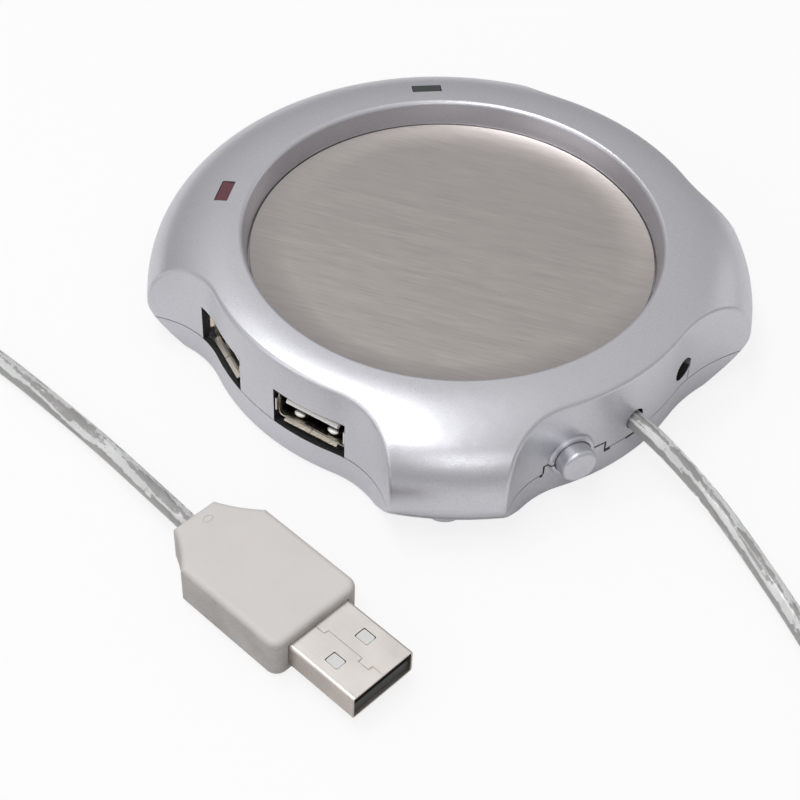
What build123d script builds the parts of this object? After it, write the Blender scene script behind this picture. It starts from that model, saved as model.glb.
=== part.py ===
from build123d import *
import os
from math import asin, cos, degrees, hypot, pi, radians, sin, tan

# Electric mug warmer with a four-port hub in its scalloped dome housing.
# Millimetres. The origin is on the table under the middle of the hot plate, +Z up.
# Azimuths are in degrees from +X, seen from above; the lobes lie on the X and Y axes.

# ---- Housing form -------------------------------------------------------------------
RECESS_RADIUS = 35.0  # mug recess, at the rim
RING_WIDTH = 7.3  # from the rim out to the upright walls between the lobes
LOBE_REACH = 8.95  # from those walls out to the tip of a lobe
STEEP_FLANK = (25.0, 15.8)  # degrees from a lobe's middle to the wall, and the concave arc's radius
LONG_FLANK = (31.0, 29.0)
SCALLOPS = {  # middle azimuth: how far its wall stands out, and its clockwise and other flank
    -135: (-0.4, STEEP_FLANK, STEEP_FLANK),
    -45: (0.5, STEEP_FLANK, LONG_FLANK),
    45: (2.2, STEEP_FLANK, STEEP_FLANK),
}  # the fourth quarter stays a plain dome
LOBES = (-90, 0, 90, 180)
WIDEST_HEIGHT = 7.5  # of the housing's widest line, above its underside
KEEL_INSET = 8.35  # from a lobe's tip in to where its underside would run level
KEEL_DEPTH = 1.2  # and how far under the flat underside that lies
CROWN_REACH = 0.81  # how far the dome runs level before it turns down
CROWN_DROP = 0.43  # how far it runs upright above the widest line
KEEL_REACH = 0.38
DOME_EDGE_FILLET = 0.8  # where a scallop wall meets the dome
RIM_FILLET = 0.7
WALL = 2.0
PARTING_HEIGHT = 4.7  # split between the halves, above the underside
SEAM_GAP = 0.15
SEAM_TAB = (-61.8, 11.8, 1.9)  # tongue of the lower half round the button: azimuth, width, height
SEAM_TAB_GAP = 0.35
SEAM_NICKS = ((-69.9, 0.6, 0.5), (-53.4, 1.3, 0.55), (-46.6, 2.2, 0.4))  # azimuth, width, depth
LIP_THICKNESS = 0.9  # lower half's tongue, inside the upper half's wall
LIP_HEIGHT = 1.2
LIP_ROOT = 1.5
LIP_ROOT_BITE = 0.3  # how far the tongue's root goes into the wall
LIP_CLEARANCE = 0.15
FIT = 0.15  # clearance round what slides or seats in plastic
TOUCH = 0.05  # clearance round what is pressed or moulded in

# ---- Hot plate ----------------------------------------------------------------------
RECESS_DEPTH = 4.2  # rim to plate
RECESS_DRAFT = 0.8  # how much the recess narrows down to the plate
PLATE_THICKNESS = 1.0
PLATE_EDGE_GAP = 0.2
PLATE_CHAMFER = 0.15
SHELF_WIDTH = 3.0  # ledge that carries the plate
SHELF_THICKNESS = 1.5
HEATER_THICKNESS = 0.3
CORE_RADIUS = 8.0  # window through pad and retainer, for cut-out and leads
RETAINER_THICKNESS = 0.8
RETAINER_OVERLAP = 2.0  # reach under the shelf
RETAINER_HEADROOM = 0.4  # over the sockets
CUTOFF_LENGTH = 8.0
CUTOFF_WIDTH = 4.6
CUTOFF_THICKNESS = 2.6
CUTOFF_OFFSET = 3.2
LEAD_RADIUS = 0.55
LEAD_OFFSET = 2.0
LEAD_START = 3.0  # behind the plate's middle, where a lead leaves the heater
LEAD_END = 7.5  # and where it meets the board
LEAD_DROP = 3.5
STUD_RADIUS = 1.7
STUD_MARGIN = 0.5  # stud to shelf, and half of it and more to the heater
HEATER_MARGIN = 1.1

# ---- Feet and screws ----------------------------------------------------------------
FOOT_STANDOFF = 0.6
FOOT_RADIUS = 4.5
FOOT_POCKET = 1.0
FOOT_INSET = 9.3  # from the upright walls in to a foot's middle
FOOT_CHAMFER = 0.3
LOBE_SCREW_INSET = 6.05  # from a lobe's tip in to its screw
UPPER_BOSS_RADIUS = 2.7
LOWER_BOSS_RADIUS = 3.3
SCREW_RADIUS = 1.0  # all screws are M2
SCREW_HEAD_RADIUS = 2.0
SCREW_HEAD_HEIGHT = 1.2
SCREW_HEAD_CHAMFER = 0.4
SCREW_SLOT_WIDTH = 0.5
SCREW_HOLE_SLACK = 0.03
HOUSING_SCREW_LENGTH = 8.0
HOUSING_SCREW_SEAT = 2.8  # head's seat, above the underside
RETAINER_SCREW_LENGTH = 1.8
BOARD_SCREW_LENGTH = 3.0
STANDOFF_RADIUS = 2.2

# ---- Circuit board ------------------------------------------------------------------
BOARD_THICKNESS = 1.2
BOARD_MARGIN = 0.5  # to the housing's lip
BOARD_SCREW_INSET = 5.5
BOARD_SCREWS = (-90, 5, 112, 178)
CHIP_SIZE = (10.0, 7.5, 1.8)
CHIP_PLACE = (0.0, -9.0)
CRYSTAL_SIZE = (11.0, 4.6, 3.5)
CRYSTAL_PLACE = (-11.5, 6.0)
CAPACITOR_RADIUS = 2.5
CAPACITOR_HEIGHT = 5.4
CAPACITOR_SPACING = 7.0
CAPACITOR_ROW = 17.0  # their row, behind the board's middle

# ---- USB-A sockets ------------------------------------------------------------------
SOCKET_PAIRS = ((-137.0, -135), (47.0, 45))  # middle azimuth of a pair, and the scallop that it is in
SOCKET_BACK_GAP = 0.5  # half the gap between the inner ends of a pair
PORT_WIDTH = 13.7
PORT_HEIGHT = 7.2
PORT_SKIN = 1.0  # what is left of the wall round a port
PORT_RELIEF = 1.2  # how far past the port the wall is thinned
SOCKET_SILL = 1.1  # board's top above the port's lower edge
SOCKET_WIDTH = 13.1
SOCKET_HEIGHT = 5.7
SOCKET_LENGTH = 13.9
SOCKET_SETBACK = 1.4  # mouth behind the wall's face
SHEET = 0.3
SOCKET_CORNER = 0.9
SPRING_LENGTH = 5.4
SPRING_WIDTH = 1.8
SPRING_SLOT_GAP = 0.2  # round a spring, in the slot that it was cut from
SPRING_DIPS = (0.55, 0.85)  # of the roof's springs and of the floor's
SPRING_OFFSET = 3.2  # from the socket's middle
SPRING_SETBACK = 1.4  # mouth to the spring's slot
MOUTH_LIP_LENGTH = 1.0
MOUTH_LIP_FLARE = 18
SIDE_LIP_HEIGHT = 2.6
SIDE_LIP_FLARE = 8
FOLD_SEAM = 0.12  # where the folded sheet meets itself
TONGUE_WIDTH = 11.1
TONGUE_THICKNESS = 1.84
TONGUE_DROP = 0.72  # under the shell's roof
TONGUE_SETBACK = 1.3
HEEL_LENGTH = 4.2
CONTACT_OFFSETS = (-3.5, -1.0, 1.0, 3.5)
CONTACT_WIDTH = 1.0
CONTACT_THICKNESS = 0.2

# ---- Side wall: button, cable and power jack ----------------------------------------
BUTTON_AZIMUTH = -63.0
BUTTON_RISE = 2.35  # its axis above the parting line
BUTTON_RADIUS = 3.1
BUTTON_PROTRUSION = 3.2
BUTTON_TRAVEL = 1.5
BUTTON_FILLET = 0.7
BUTTON_FLANGE = 0.35
BUTTON_FLANGE_THICKNESS = 0.8
BUTTON_FLANGE_GAP = 0.3  # flange to wall, at rest
COLLAR_WIDTH = 0.95
COLLAR_PROTRUSION = 0.6
COLLAR_CHAMFER = 0.3
SWITCH_WIDTH = 7.0
SWITCH_HEIGHT = 8.0
SWITCH_LENGTH = 11.5
SWITCH_LIFT = 0.2  # off the housing's floor
SWITCH_GAP = 3.6  # from the switch's face to the button's back
PLUNGER_SIZE = 3.0
PLUNGER_BURIED = 2.5  # in the switch, at rest
CABLE_AZIMUTH = -46.0
CABLE_RISE = 3.4  # above the parting line
CABLE_DIAMETER = 3.2
CABLE_HOLE_SLACK = 0.25
CLAMP_LENGTH = 3.2
CLAMP_WIDTH = 7.5
CLAMP_INSET = 0.1  # from the board's edge
CLAMP_ROOF = 1.2
CONDUCTOR_RADIUS = 0.3
CONDUCTOR_OFFSETS = (-1.05, -0.35, 0.35, 1.05)
CONDUCTOR_REACH = 3.0  # from the jacket's end to where they turn down
CONDUCTOR_SPREAD = 1.8
JACK_AZIMUTH = -27.6
JACK_HOLE_RADIUS = 2.1
JACK_SLIT_WIDTH = 0.2  # parting slit at the hole's side
JACK_WIDTH = 6.5
JACK_HEIGHT = 6.0
JACK_LENGTH = 9.5
JACK_GAP = 0.7  # from its face to the inside of the wall
JACK_BORE_RADIUS = 1.8
JACK_BORE_DEPTH = 8.0
JACK_PIN_RADIUS = 0.65
JACK_PIN_SETBACK = 1.0

# ---- Indicator lamps ----------------------------------------------------------------
LAMP_AZIMUTHS = (97.7, 168.8)
LAMP_MARGIN = 4.5  # from the rim out to a lamp's middle
LAMP_WIDTH = 5.0
LAMP_DEPTH = 2.0
LAMP_HEIGHT = 7.0
LAMP_RECESS = 0.5
LAMP_LEG_RADIUS = 0.3
LAMP_LEG_OFFSET = 1.27

# ---- Cable and plug -----------------------------------------------------------------
PLUG_NECK = (-37.8, -53.6)  # where the cable enters the plug
PLUG_AZIMUTH = -42.3
OVERMOLD_LENGTH = 27.0
OVERMOLD_WIDTH = 17.0
OVERMOLD_THICKNESS = 7.8
NECK_WIDTH = 8.0
SHOULDER_LENGTH = 6.8
OVERMOLD_FILLET = 1.1
OVERMOLD_CORNER = 2.0
PLUG_SHELL_WIDTH = 12.0
PLUG_SHELL_HEIGHT = 4.5
PLUG_SHELL_EXPOSED = 13.0
PLUG_SHELL_BURIED = 6.0
PLUG_WINDOW = (2.5, 2.05)  # along, across
PLUG_WINDOW_OFFSET = 3.0
PLUG_SEAM = ((0.0, -0.84), (1.95, -0.05), (8.8, -0.84), (10.8, 0.0))  # along the metal, across
PLUG_SEAM_WIDTH = 0.14
PLUG_INSULATOR_THICKNESS = 1.9
PLUG_BLADE_SETBACK = 0.5
PLUG_CONTACT_SETBACKS = (1.2, 2.2, 2.2, 1.2)  # supply contacts meet first
COIL_CENTRE = (-111.3, -74.9)
COIL_RADIUS = 18.0
COIL_TURNS_ACROSS = 3
COIL_LAYERS = 2
COIL_SLACK = 0.5  # coil to the straight sides of its tie, both sides together
TIE_THICKNESS = 0.5
TIE_WIDTH = 5.0
TIE_AZIMUTH = 200.0

# ---- Radii worked out from the sizes above ------------------------------------------
wall_radius = RECESS_RADIUS + RING_WIDTH
lobe_radius = wall_radius + LOBE_REACH
keel_radius = lobe_radius - KEEL_INSET
nearest_wall = wall_radius + min(reach for reach, *flanks in SCALLOPS.values())
front_wall = wall_radius + SCALLOPS[-45][0]  # the one with button, cable and power jack
front_wall_inner = front_wall - WALL
plate_seat_radius = RECESS_RADIUS - RECESS_DRAFT
plate_radius = plate_seat_radius - PLATE_EDGE_GAP
shelf_radius = plate_radius - SHELF_WIDTH
stud_circle_radius = shelf_radius - STUD_MARGIN - STUD_RADIUS
heater_radius = stud_circle_radius - STUD_RADIUS - HEATER_MARGIN
foot_circle_radius = wall_radius - FOOT_INSET
lobe_screw_radius = lobe_radius - LOBE_SCREW_INSET
lip_inset = WALL + LIP_CLEARANCE
board_radius = nearest_wall - lip_inset - LIP_THICKNESS - BOARD_MARGIN
board_screw_radius = board_radius - BOARD_SCREW_INSET
clamp_outer_radius = board_radius - CLAMP_INSET
port_inner_radius = nearest_wall - 2 * WALL
nearest_socket_back = nearest_wall - SOCKET_SETBACK - SOCKET_LENGTH
socket_half_angle = degrees(asin((SOCKET_WIDTH / 2 + SOCKET_BACK_GAP) / nearest_socket_back))
sockets = [  # azimuth, and how far out the mouth is
    (middle + side * socket_half_angle, wall_radius + SCALLOPS[behind][0] - SOCKET_SETBACK)
    for middle, behind in SOCKET_PAIRS
    for side in (-1, 1)
]
socket_tongue_front = -SOCKET_LENGTH + SHEET + HEEL_LENGTH
relief_width = PORT_WIDTH + 2 * PORT_RELIEF
lamp_circle_radius = RECESS_RADIUS + LAMP_MARGIN
button_back = front_wall_inner - BUTTON_FLANGE_GAP - BUTTON_FLANGE_THICKNESS
flange_radius = BUTTON_RADIUS + BUTTON_FLANGE
collar_radius = BUTTON_RADIUS + COLLAR_WIDTH
switch_face = button_back - SWITCH_GAP
jack_face = front_wall_inner - JACK_GAP
cable_radius = CABLE_DIAMETER / 2
plug_shell_back = OVERMOLD_LENGTH - PLUG_SHELL_BURIED
plug_tip = OVERMOLD_LENGTH + PLUG_SHELL_EXPOSED

# ---- Heights, from the table up -----------------------------------------------------
base_z = FOOT_STANDOFF
floor_z = base_z + WALL
seam_z = base_z + PARTING_HEIGHT
widest_z = base_z + WIDEST_HEIGHT
board_top_z = seam_z + SOCKET_SILL
board_z = board_top_z - BOARD_THICKNESS
retainer_z = board_top_z + SOCKET_HEIGHT + RETAINER_HEADROOM
shelf_z = retainer_z + RETAINER_THICKNESS
plate_z = shelf_z + SHELF_THICKNESS
plate_top_z = plate_z + PLATE_THICKNESS
rim_z = plate_top_z + RECESS_DEPTH
lamp_top_z = rim_z - LAMP_RECESS
button_z = seam_z + BUTTON_RISE
switch_z = floor_z + SWITCH_LIFT
cable_z = seam_z + CABLE_RISE
jack_z = board_top_z + JACK_HEIGHT / 2
screw_seat_z = base_z + HOUSING_SCREW_SEAT
plug_mid_z = OVERMOLD_THICKNESS / 2
plug_shell_low = plug_mid_z - PLUG_SHELL_HEIGHT / 2
plug_shell_high = plug_mid_z + PLUG_SHELL_HEIGHT / 2
plug_blade_top = plug_shell_low + SHEET + TOUCH + PLUG_INSULATOR_THICKNESS
coil_width = COIL_TURNS_ACROSS * CABLE_DIAMETER
coil_height = COIL_LAYERS * CABLE_DIAMETER
coil_z = TIE_THICKNESS + COIL_SLACK / 2

# The free cable's route, point by point: out of the wall, down on the table, round in
# front of the housing to the coil, and from the coil to the plug.
CABLE_OUT = [
    (24.2, -25.0, cable_z),
    (31.9, -33.1, cable_z),
    (41.4, -40.9, cable_radius + 1.2),
    (46.6, -50.0, cable_radius),
    (54.4, -68.0, cable_radius),
    (60.5, -86.0, cable_radius),
    (56.0, -105.5, cable_radius),
    (38.0, -116.5, cable_radius),
    (11.0, -117.0, cable_radius),
    (-22.0, -111.0, cable_radius),
    (-60.0, -112.0, cable_radius),
    (-90.0, -101.5, cable_radius + 0.3),
    (-108.0, -96.2, cable_radius + coil_z),
]
CABLE_BACK = [
    (-132.1, -73.1, coil_z + coil_height - cable_radius),
    (-132.7, -52.0, 4.0),
    (-130.5, -29.0, cable_radius),
    (-118.5, -8.5, cable_radius),
    (-96.5, -1.0, cable_radius),
    (-76.4, -15.3, cable_radius),
    (-56.2, -33.6, cable_radius),
    (-46.5, -44.3, cable_radius + 1.5),
    (PLUG_NECK[0], PLUG_NECK[1], plug_mid_z),
]


# ---- Small helpers ------------------------------------------------------------------
def facing(azimuth, radius=0.0, height=0.0):
    """A place whose +X points outwards at that azimuth."""
    return Rot(0, 0, azimuth) * Pos(radius, 0, height)


def block(x0, x1, width, z0, z1):
    """A box along X, centred on Y."""
    return Pos((x0 + x1) / 2, 0, (z0 + z1) / 2) * Box(x1 - x0, width, z1 - z0)


def rod(radius, x0, x1, z=0.0):
    """A cylinder along X."""
    return Pos((x0 + x1) / 2, 0, z) * Rot(0, 90, 0) * Cylinder(radius, x1 - x0)


def post(radius, z0, z1):
    """A cylinder along Z."""
    return Pos(0, 0, z0) * Cylinder(radius, z1 - z0, align=(Align.CENTER, Align.CENTER, Align.MIN))


def screw(seat_z, length, direction=1):
    """A pan-head screw whose shank runs from its seat along Z, up or down."""
    outer_z = seat_z - direction * SCREW_HEAD_HEIGHT
    tip_z = seat_z + direction * length
    head = post(SCREW_HEAD_RADIUS, min(seat_z, outer_z), max(seat_z, outer_z))
    head = chamfer(head.faces().sort_by(Axis.Z)[0 if direction > 0 else -1].edges(), SCREW_HEAD_CHAMFER)
    slot = Pos(0, 0, outer_z) * Box(SCREW_HEAD_RADIUS * 1.3, SCREW_SLOT_WIDTH, SCREW_HEAD_HEIGHT)
    return head - slot + post(SCREW_RADIUS, min(seat_z, tip_z), max(seat_z, tip_z))


def each(shape, places):
    """One copy of the shape at each place, as separate solids."""
    return Compound([place * shape for place in places])


# ---- Housing ------------------------------------------------------------------------
def scallop(azimuth, inset):
    """What is cut away between two lobes: a round wall, flowing into a concave flank each side."""
    reach, *flanks = SCALLOPS[azimuth]
    local_wall = wall_radius + reach
    far = 2 * lobe_radius
    spreads = [far * tan(radians(45 - angle)) for angle, radius in flanks]
    wedge = Polygon((0, 0), (far, -spreads[0]), (far, spreads[1]), align=None)
    plan = wedge - Circle(local_wall - inset)
    for side, (angle, radius) in zip((-1, 1), flanks):
        half = radians(45 - angle)
        centre = Pos((local_wall + radius) * cos(half), side * (local_wall + radius) * sin(half))
        beyond = Rectangle(far, 2 * (radius + inset), align=(Align.MIN, Align.CENTER))
        plan += centre * Circle(radius + inset)
        plan += centre * Rot(0, 0, side * 45) * beyond
    return Rot(0, 0, azimuth) * Pos(0, 0, -rim_z) * extrude(plan, 3 * rim_z)


def rough_form(inset):
    """The dome with its scallops, before its underside is cut flat, shrunk inwards by an inset."""
    top = rim_z - inset
    low = base_z + inset - KEEL_DEPTH
    edge = lobe_radius - inset
    crown = Bezier(
        (RECESS_RADIUS, 0, top),
        (RECESS_RADIUS + CROWN_REACH * (edge - RECESS_RADIUS), 0, top),
        (edge, 0, widest_z + CROWN_DROP * (top - widest_z)),
        (edge, 0, widest_z),
    )
    keel = Bezier(
        (edge, 0, widest_z),
        (edge, 0, widest_z - KEEL_REACH * (widest_z - low)),
        (keel_radius + KEEL_REACH * (edge - keel_radius), 0, low),
        (keel_radius, 0, low),
    )
    middle = Polyline((keel_radius, 0, low), (0, 0, low), (0, 0, top), (RECESS_RADIUS, 0, top))
    solid = revolve(make_face(crown + keel + middle), Axis.Z, 360)
    for azimuth in SCALLOPS:
        solid -= scallop(azimuth, inset)
    return solid


def slab(z0, z1):
    return post(2 * lobe_radius, z0, z1)


def form(inset):
    """The housing's outer form, or that form shrunk inwards by an inset."""
    return rough_form(inset) & slab(base_z + inset, rim_z + 1)


def outer_form():
    """The outer form, with its scallop edges rounded and a raised collar round the button."""
    solid = rough_form(0)
    lowest = base_z - KEEL_DEPTH
    edges = []
    for wall in solid.faces().filter_by(GeomType.CYLINDER):
        for edge in wall.edges():
            if edge.geom_type != GeomType.LINE and (edge @ 0.5).Z > lowest + 0.01:
                edges.append(edge)
    solid = fillet(edges, DOME_EDGE_FILLET) & slab(base_z, rim_z + 1)
    collar_face = front_wall + COLLAR_PROTRUSION
    collar = rod(collar_radius, front_wall_inner, collar_face, button_z)
    collar = chamfer(collar.faces().sort_by(Axis.X)[-1].edges(), COLLAR_CHAMFER)
    return solid + facing(BUTTON_AZIMUTH) * collar


def recess():
    """The mug recess, its tapered wall, and the hole through the plate's ledge."""
    wall = Polyline(
        (0, 0, shelf_z - 1),
        (shelf_radius, 0, shelf_z - 1),
        (shelf_radius, 0, plate_z),
        (plate_seat_radius, 0, plate_z),
        (plate_seat_radius, 0, plate_top_z),
        (RECESS_RADIUS, 0, rim_z),
        (RECESS_RADIUS, 0, rim_z + 1),
        (0, 0, rim_z + 1),
        close=True,
    )
    return revolve(make_face(wall), Axis.Z, 360)


def housing_shell():
    """Both halves in one: the hollow form with the recess and every opening in it."""
    well = post(RECESS_RADIUS + WALL * 0.9, shelf_z, rim_z)
    shell = outer_form() - (form(WALL) - well) - recess()
    rim = [e for e in shell.edges().filter_by(GeomType.CIRCLE) if abs(e.radius - RECESS_RADIUS) < 0.01]
    rim = [e for e in rim if abs((e @ 0.5).Z - rim_z) < 0.01]
    shell = fillet(rim, RIM_FILLET)
    wall_holes = (
        (BUTTON_AZIMUTH, BUTTON_RADIUS + FIT, button_z),
        (CABLE_AZIMUTH, cable_radius + CABLE_HOLE_SLACK, cable_z),
        (JACK_AZIMUTH, JACK_HOLE_RADIUS, jack_z),
    )
    for azimuth, radius, height in wall_holes:
        shell -= facing(azimuth) * rod(radius, port_inner_radius, lobe_radius, height)
    relief_top = seam_z + PORT_HEIGHT + PORT_RELIEF
    relief = block(port_inner_radius, lobe_radius, relief_width, seam_z - PORT_RELIEF, relief_top)
    for azimuth, mouth in sockets:
        shell -= facing(azimuth) * relief & form(PORT_SKIN)
    for azimuth in LAMP_AZIMUTHS:
        window = Box(LAMP_DEPTH + 2 * FIT, LAMP_WIDTH + 2 * FIT, 3 * WALL)
        shell -= facing(azimuth, lamp_circle_radius, rim_z) * window
    return shell


def seam_tab(slack):
    """Where the lower half reaches up into a notch of the upper one, round the button."""
    azimuth, width, height = SEAM_TAB
    tab = block(port_inner_radius, lobe_radius, width - 2 * slack, seam_z - 1, seam_z + height - slack)
    return facing(azimuth) * tab


def upper_housing(shell):
    half = shell & slab(seam_z + SEAM_GAP, rim_z + 1)
    for azimuth, mouth in sockets:
        port = block(port_inner_radius, lobe_radius, PORT_WIDTH, seam_z - 1, seam_z + PORT_HEIGHT)
        half -= facing(azimuth) * port
    half -= seam_tab(0)
    slit = block(port_inner_radius, lobe_radius, JACK_SLIT_WIDTH, seam_z - 1, jack_z + JACK_HOLE_RADIUS / 2)
    half -= facing(JACK_AZIMUTH) * Pos(0, JACK_HOLE_RADIUS, 0) * slit
    inside = form(WALL / 2)
    pilot = post(SCREW_RADIUS + SCREW_HOLE_SLACK, seam_z - 1, screw_seat_z + HOUSING_SCREW_LENGTH + 0.5)
    for azimuth in LOBES:
        place = facing(azimuth, lobe_screw_radius)
        half += place * post(UPPER_BOSS_RADIUS, seam_z, rim_z) & inside
        half -= place * pilot
    return half


def lower_housing(shell):
    half = shell & (slab(base_z - 1, seam_z) + seam_tab(SEAM_TAB_GAP))
    for azimuth, width, depth in SEAM_NICKS:
        half -= facing(azimuth) * block(port_inner_radius, lobe_radius, width, seam_z - depth, seam_z + 0.5)
    core = form(lip_inset + LIP_THICKNESS)
    lip = (form(lip_inset) - core) & slab(seam_z - LIP_ROOT, seam_z + LIP_HEIGHT)
    lip += (form(WALL - LIP_ROOT_BITE) - core) & slab(seam_z - LIP_ROOT, seam_z)
    inner = port_inner_radius
    behind_wall = front_wall_inner + FIT
    for azimuth, mouth in sockets:
        lip -= facing(azimuth) * block(inner, lobe_radius, relief_width, seam_z - PORT_RELIEF, rim_z)
    lip -= facing(BUTTON_AZIMUTH) * block(inner, behind_wall, 2 * collar_radius + 1, base_z, rim_z)
    lip -= facing(CABLE_AZIMUTH) * block(inner, lobe_radius, CABLE_DIAMETER + 2, seam_z, rim_z)
    lip -= facing(JACK_AZIMUTH) * block(inner, lobe_radius, JACK_WIDTH + 2, seam_z, rim_z)
    for azimuth in LOBES:
        lip -= facing(azimuth, lobe_screw_radius) * post(UPPER_BOSS_RADIUS + FIT, seam_z, rim_z)
    half += lip
    half -= facing(BUTTON_AZIMUTH) * rod(BUTTON_RADIUS + FIT, inner, lobe_radius, button_z)
    half -= facing(BUTTON_AZIMUTH) * rod(flange_radius + FIT, inner, front_wall_inner, button_z)
    for azimuth in LOBES:
        place = facing(azimuth, lobe_screw_radius)
        half += place * post(LOWER_BOSS_RADIUS, floor_z - 0.5, seam_z)
        half -= place * post(SCREW_RADIUS + SCREW_HOLE_SLACK, base_z - 1, seam_z + 1)
        half -= place * post(SCREW_HEAD_RADIUS + FIT, base_z - 1, screw_seat_z)
    for azimuth in BOARD_SCREWS:
        place = facing(azimuth, board_screw_radius)
        half += place * post(STANDOFF_RADIUS, floor_z - 0.5, board_z)
        half -= place * post(SCREW_RADIUS + SCREW_HOLE_SLACK, floor_z - 0.5, board_z + 1)
    for place in foot_places():
        half -= place * post(FOOT_RADIUS + FIT, base_z - 1, base_z + FOOT_POCKET)
    return half


def foot_places():
    return [facing(azimuth + 45, foot_circle_radius) for azimuth in LOBES]


def rubber_feet():
    foot = post(FOOT_RADIUS, 0, base_z + FOOT_POCKET)
    foot = chamfer(foot.faces().sort_by(Axis.Z)[0].edges(), FOOT_CHAMFER)
    return each(foot, foot_places())


def housing_screws():
    places = [facing(azimuth, lobe_screw_radius) for azimuth in LOBES]
    return each(screw(screw_seat_z, HOUSING_SCREW_LENGTH), places)


# ---- Hot plate ----------------------------------------------------------------------
def stud_places():
    return [facing(azimuth, stud_circle_radius) for azimuth in LOBES]


def heating_plate():
    """A sheet-metal disc with four threaded studs on its underside."""
    plate = post(plate_radius, plate_z, plate_top_z)
    plate = chamfer(plate.faces().sort_by(Axis.Z)[-1].edges(), PLATE_CHAMFER)
    for place in stud_places():
        plate += place * post(STUD_RADIUS, shelf_z, plate_z + 0.1)
        plate -= place * post(SCREW_RADIUS + SCREW_HOLE_SLACK, shelf_z - 1, plate_z)
    return plate


def heater_film():
    return post(heater_radius, plate_z - HEATER_THICKNESS, plate_z)


def insulation_pad():
    pad = post(heater_radius, shelf_z, plate_z - HEATER_THICKNESS)
    return pad - post(CORE_RADIUS, shelf_z - 1, plate_z)


def heater_retainer():
    """The steel disc that clamps pad and plate to the ledge from below."""
    disc = post(shelf_radius + RETAINER_OVERLAP, retainer_z, shelf_z)
    disc -= post(CORE_RADIUS, retainer_z - 1, shelf_z + 1)
    for place in stud_places():
        disc -= place * post(SCREW_RADIUS + SCREW_HOLE_SLACK, retainer_z - 1, shelf_z + 1)
    return disc


def retainer_screws():
    return each(screw(retainer_z, RETAINER_SCREW_LENGTH), stud_places())


def thermal_cutoff():
    """The flat switch that cuts the heater off, held against the film inside the core window."""
    top = plate_z - HEATER_THICKNESS
    body = block(-CUTOFF_LENGTH / 2, CUTOFF_LENGTH / 2, CUTOFF_WIDTH, top - CUTOFF_THICKNESS, top)
    return Pos(0, -CUTOFF_OFFSET, 0) * fillet(body.edges().filter_by(Axis.Z), 0.6)


def heater_leads():
    """Two wires from the heater, through the core window, down to the board."""
    top = plate_z - HEATER_THICKNESS
    leave_z = top - LEAD_DROP
    arrive_z = board_top_z + LEAD_DROP
    wires = []
    for x in (-LEAD_OFFSET, LEAD_OFFSET):
        route = FilletPolyline(
            (x, LEAD_START, top),
            (x, LEAD_START, leave_z),
            (x, LEAD_END, arrive_z),
            (x, LEAD_END, board_top_z),
            radius=1.6,
        )
        wires.append(sweep(Plane(route @ 0, z_dir=route % 0) * Circle(LEAD_RADIUS), path=route))
    return Compound(wires)


# ---- Circuit board and what stands on it --------------------------------------------
def hub_circuit_board():
    plan = Circle(board_radius)
    for azimuth in LAMP_AZIMUTHS:
        reach = lamp_circle_radius + LAMP_DEPTH
        plan += Rot(0, 0, azimuth) * Rectangle(reach, LAMP_WIDTH + 1.2, align=(Align.MIN, Align.CENTER))
    board = Pos(0, 0, board_z) * extrude(plan, BOARD_THICKNESS)
    switch_back = switch_face - SWITCH_LENGTH - 2 * FIT
    notch = block(switch_back, lobe_radius, SWITCH_WIDTH + 4 * FIT, board_z - 1, board_top_z + 1)
    board -= facing(BUTTON_AZIMUTH) * notch
    screw_hole = post(SCREW_RADIUS + SCREW_HOLE_SLACK, board_z - 1, board_top_z + 1)
    for azimuth in BOARD_SCREWS:
        board -= facing(azimuth, board_screw_radius) * screw_hole
    return board


def board_screws():
    places = [facing(azimuth, board_screw_radius) for azimuth in BOARD_SCREWS]
    return each(screw(board_top_z, BOARD_SCREW_LENGTH, -1), places)


def spring_leaf(dip):
    """A spring cut from the shell's sheet, bent inwards from its root; it lies under z = 0."""
    elbow = SPRING_LENGTH * 0.7
    leaf = Polyline(
        (0, 0, 0),
        (0, 0, -SHEET),
        (elbow, 0, -dip - SHEET),
        (SPRING_LENGTH, 0, -dip),
        (SPRING_LENGTH, 0, SHEET - dip),
        (elbow, 0, -dip),
        close=True,
    )
    return Pos(0, SPRING_WIDTH / 2, 0) * extrude(make_face(leaf), SPRING_WIDTH, dir=(0, -1, 0))


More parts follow.
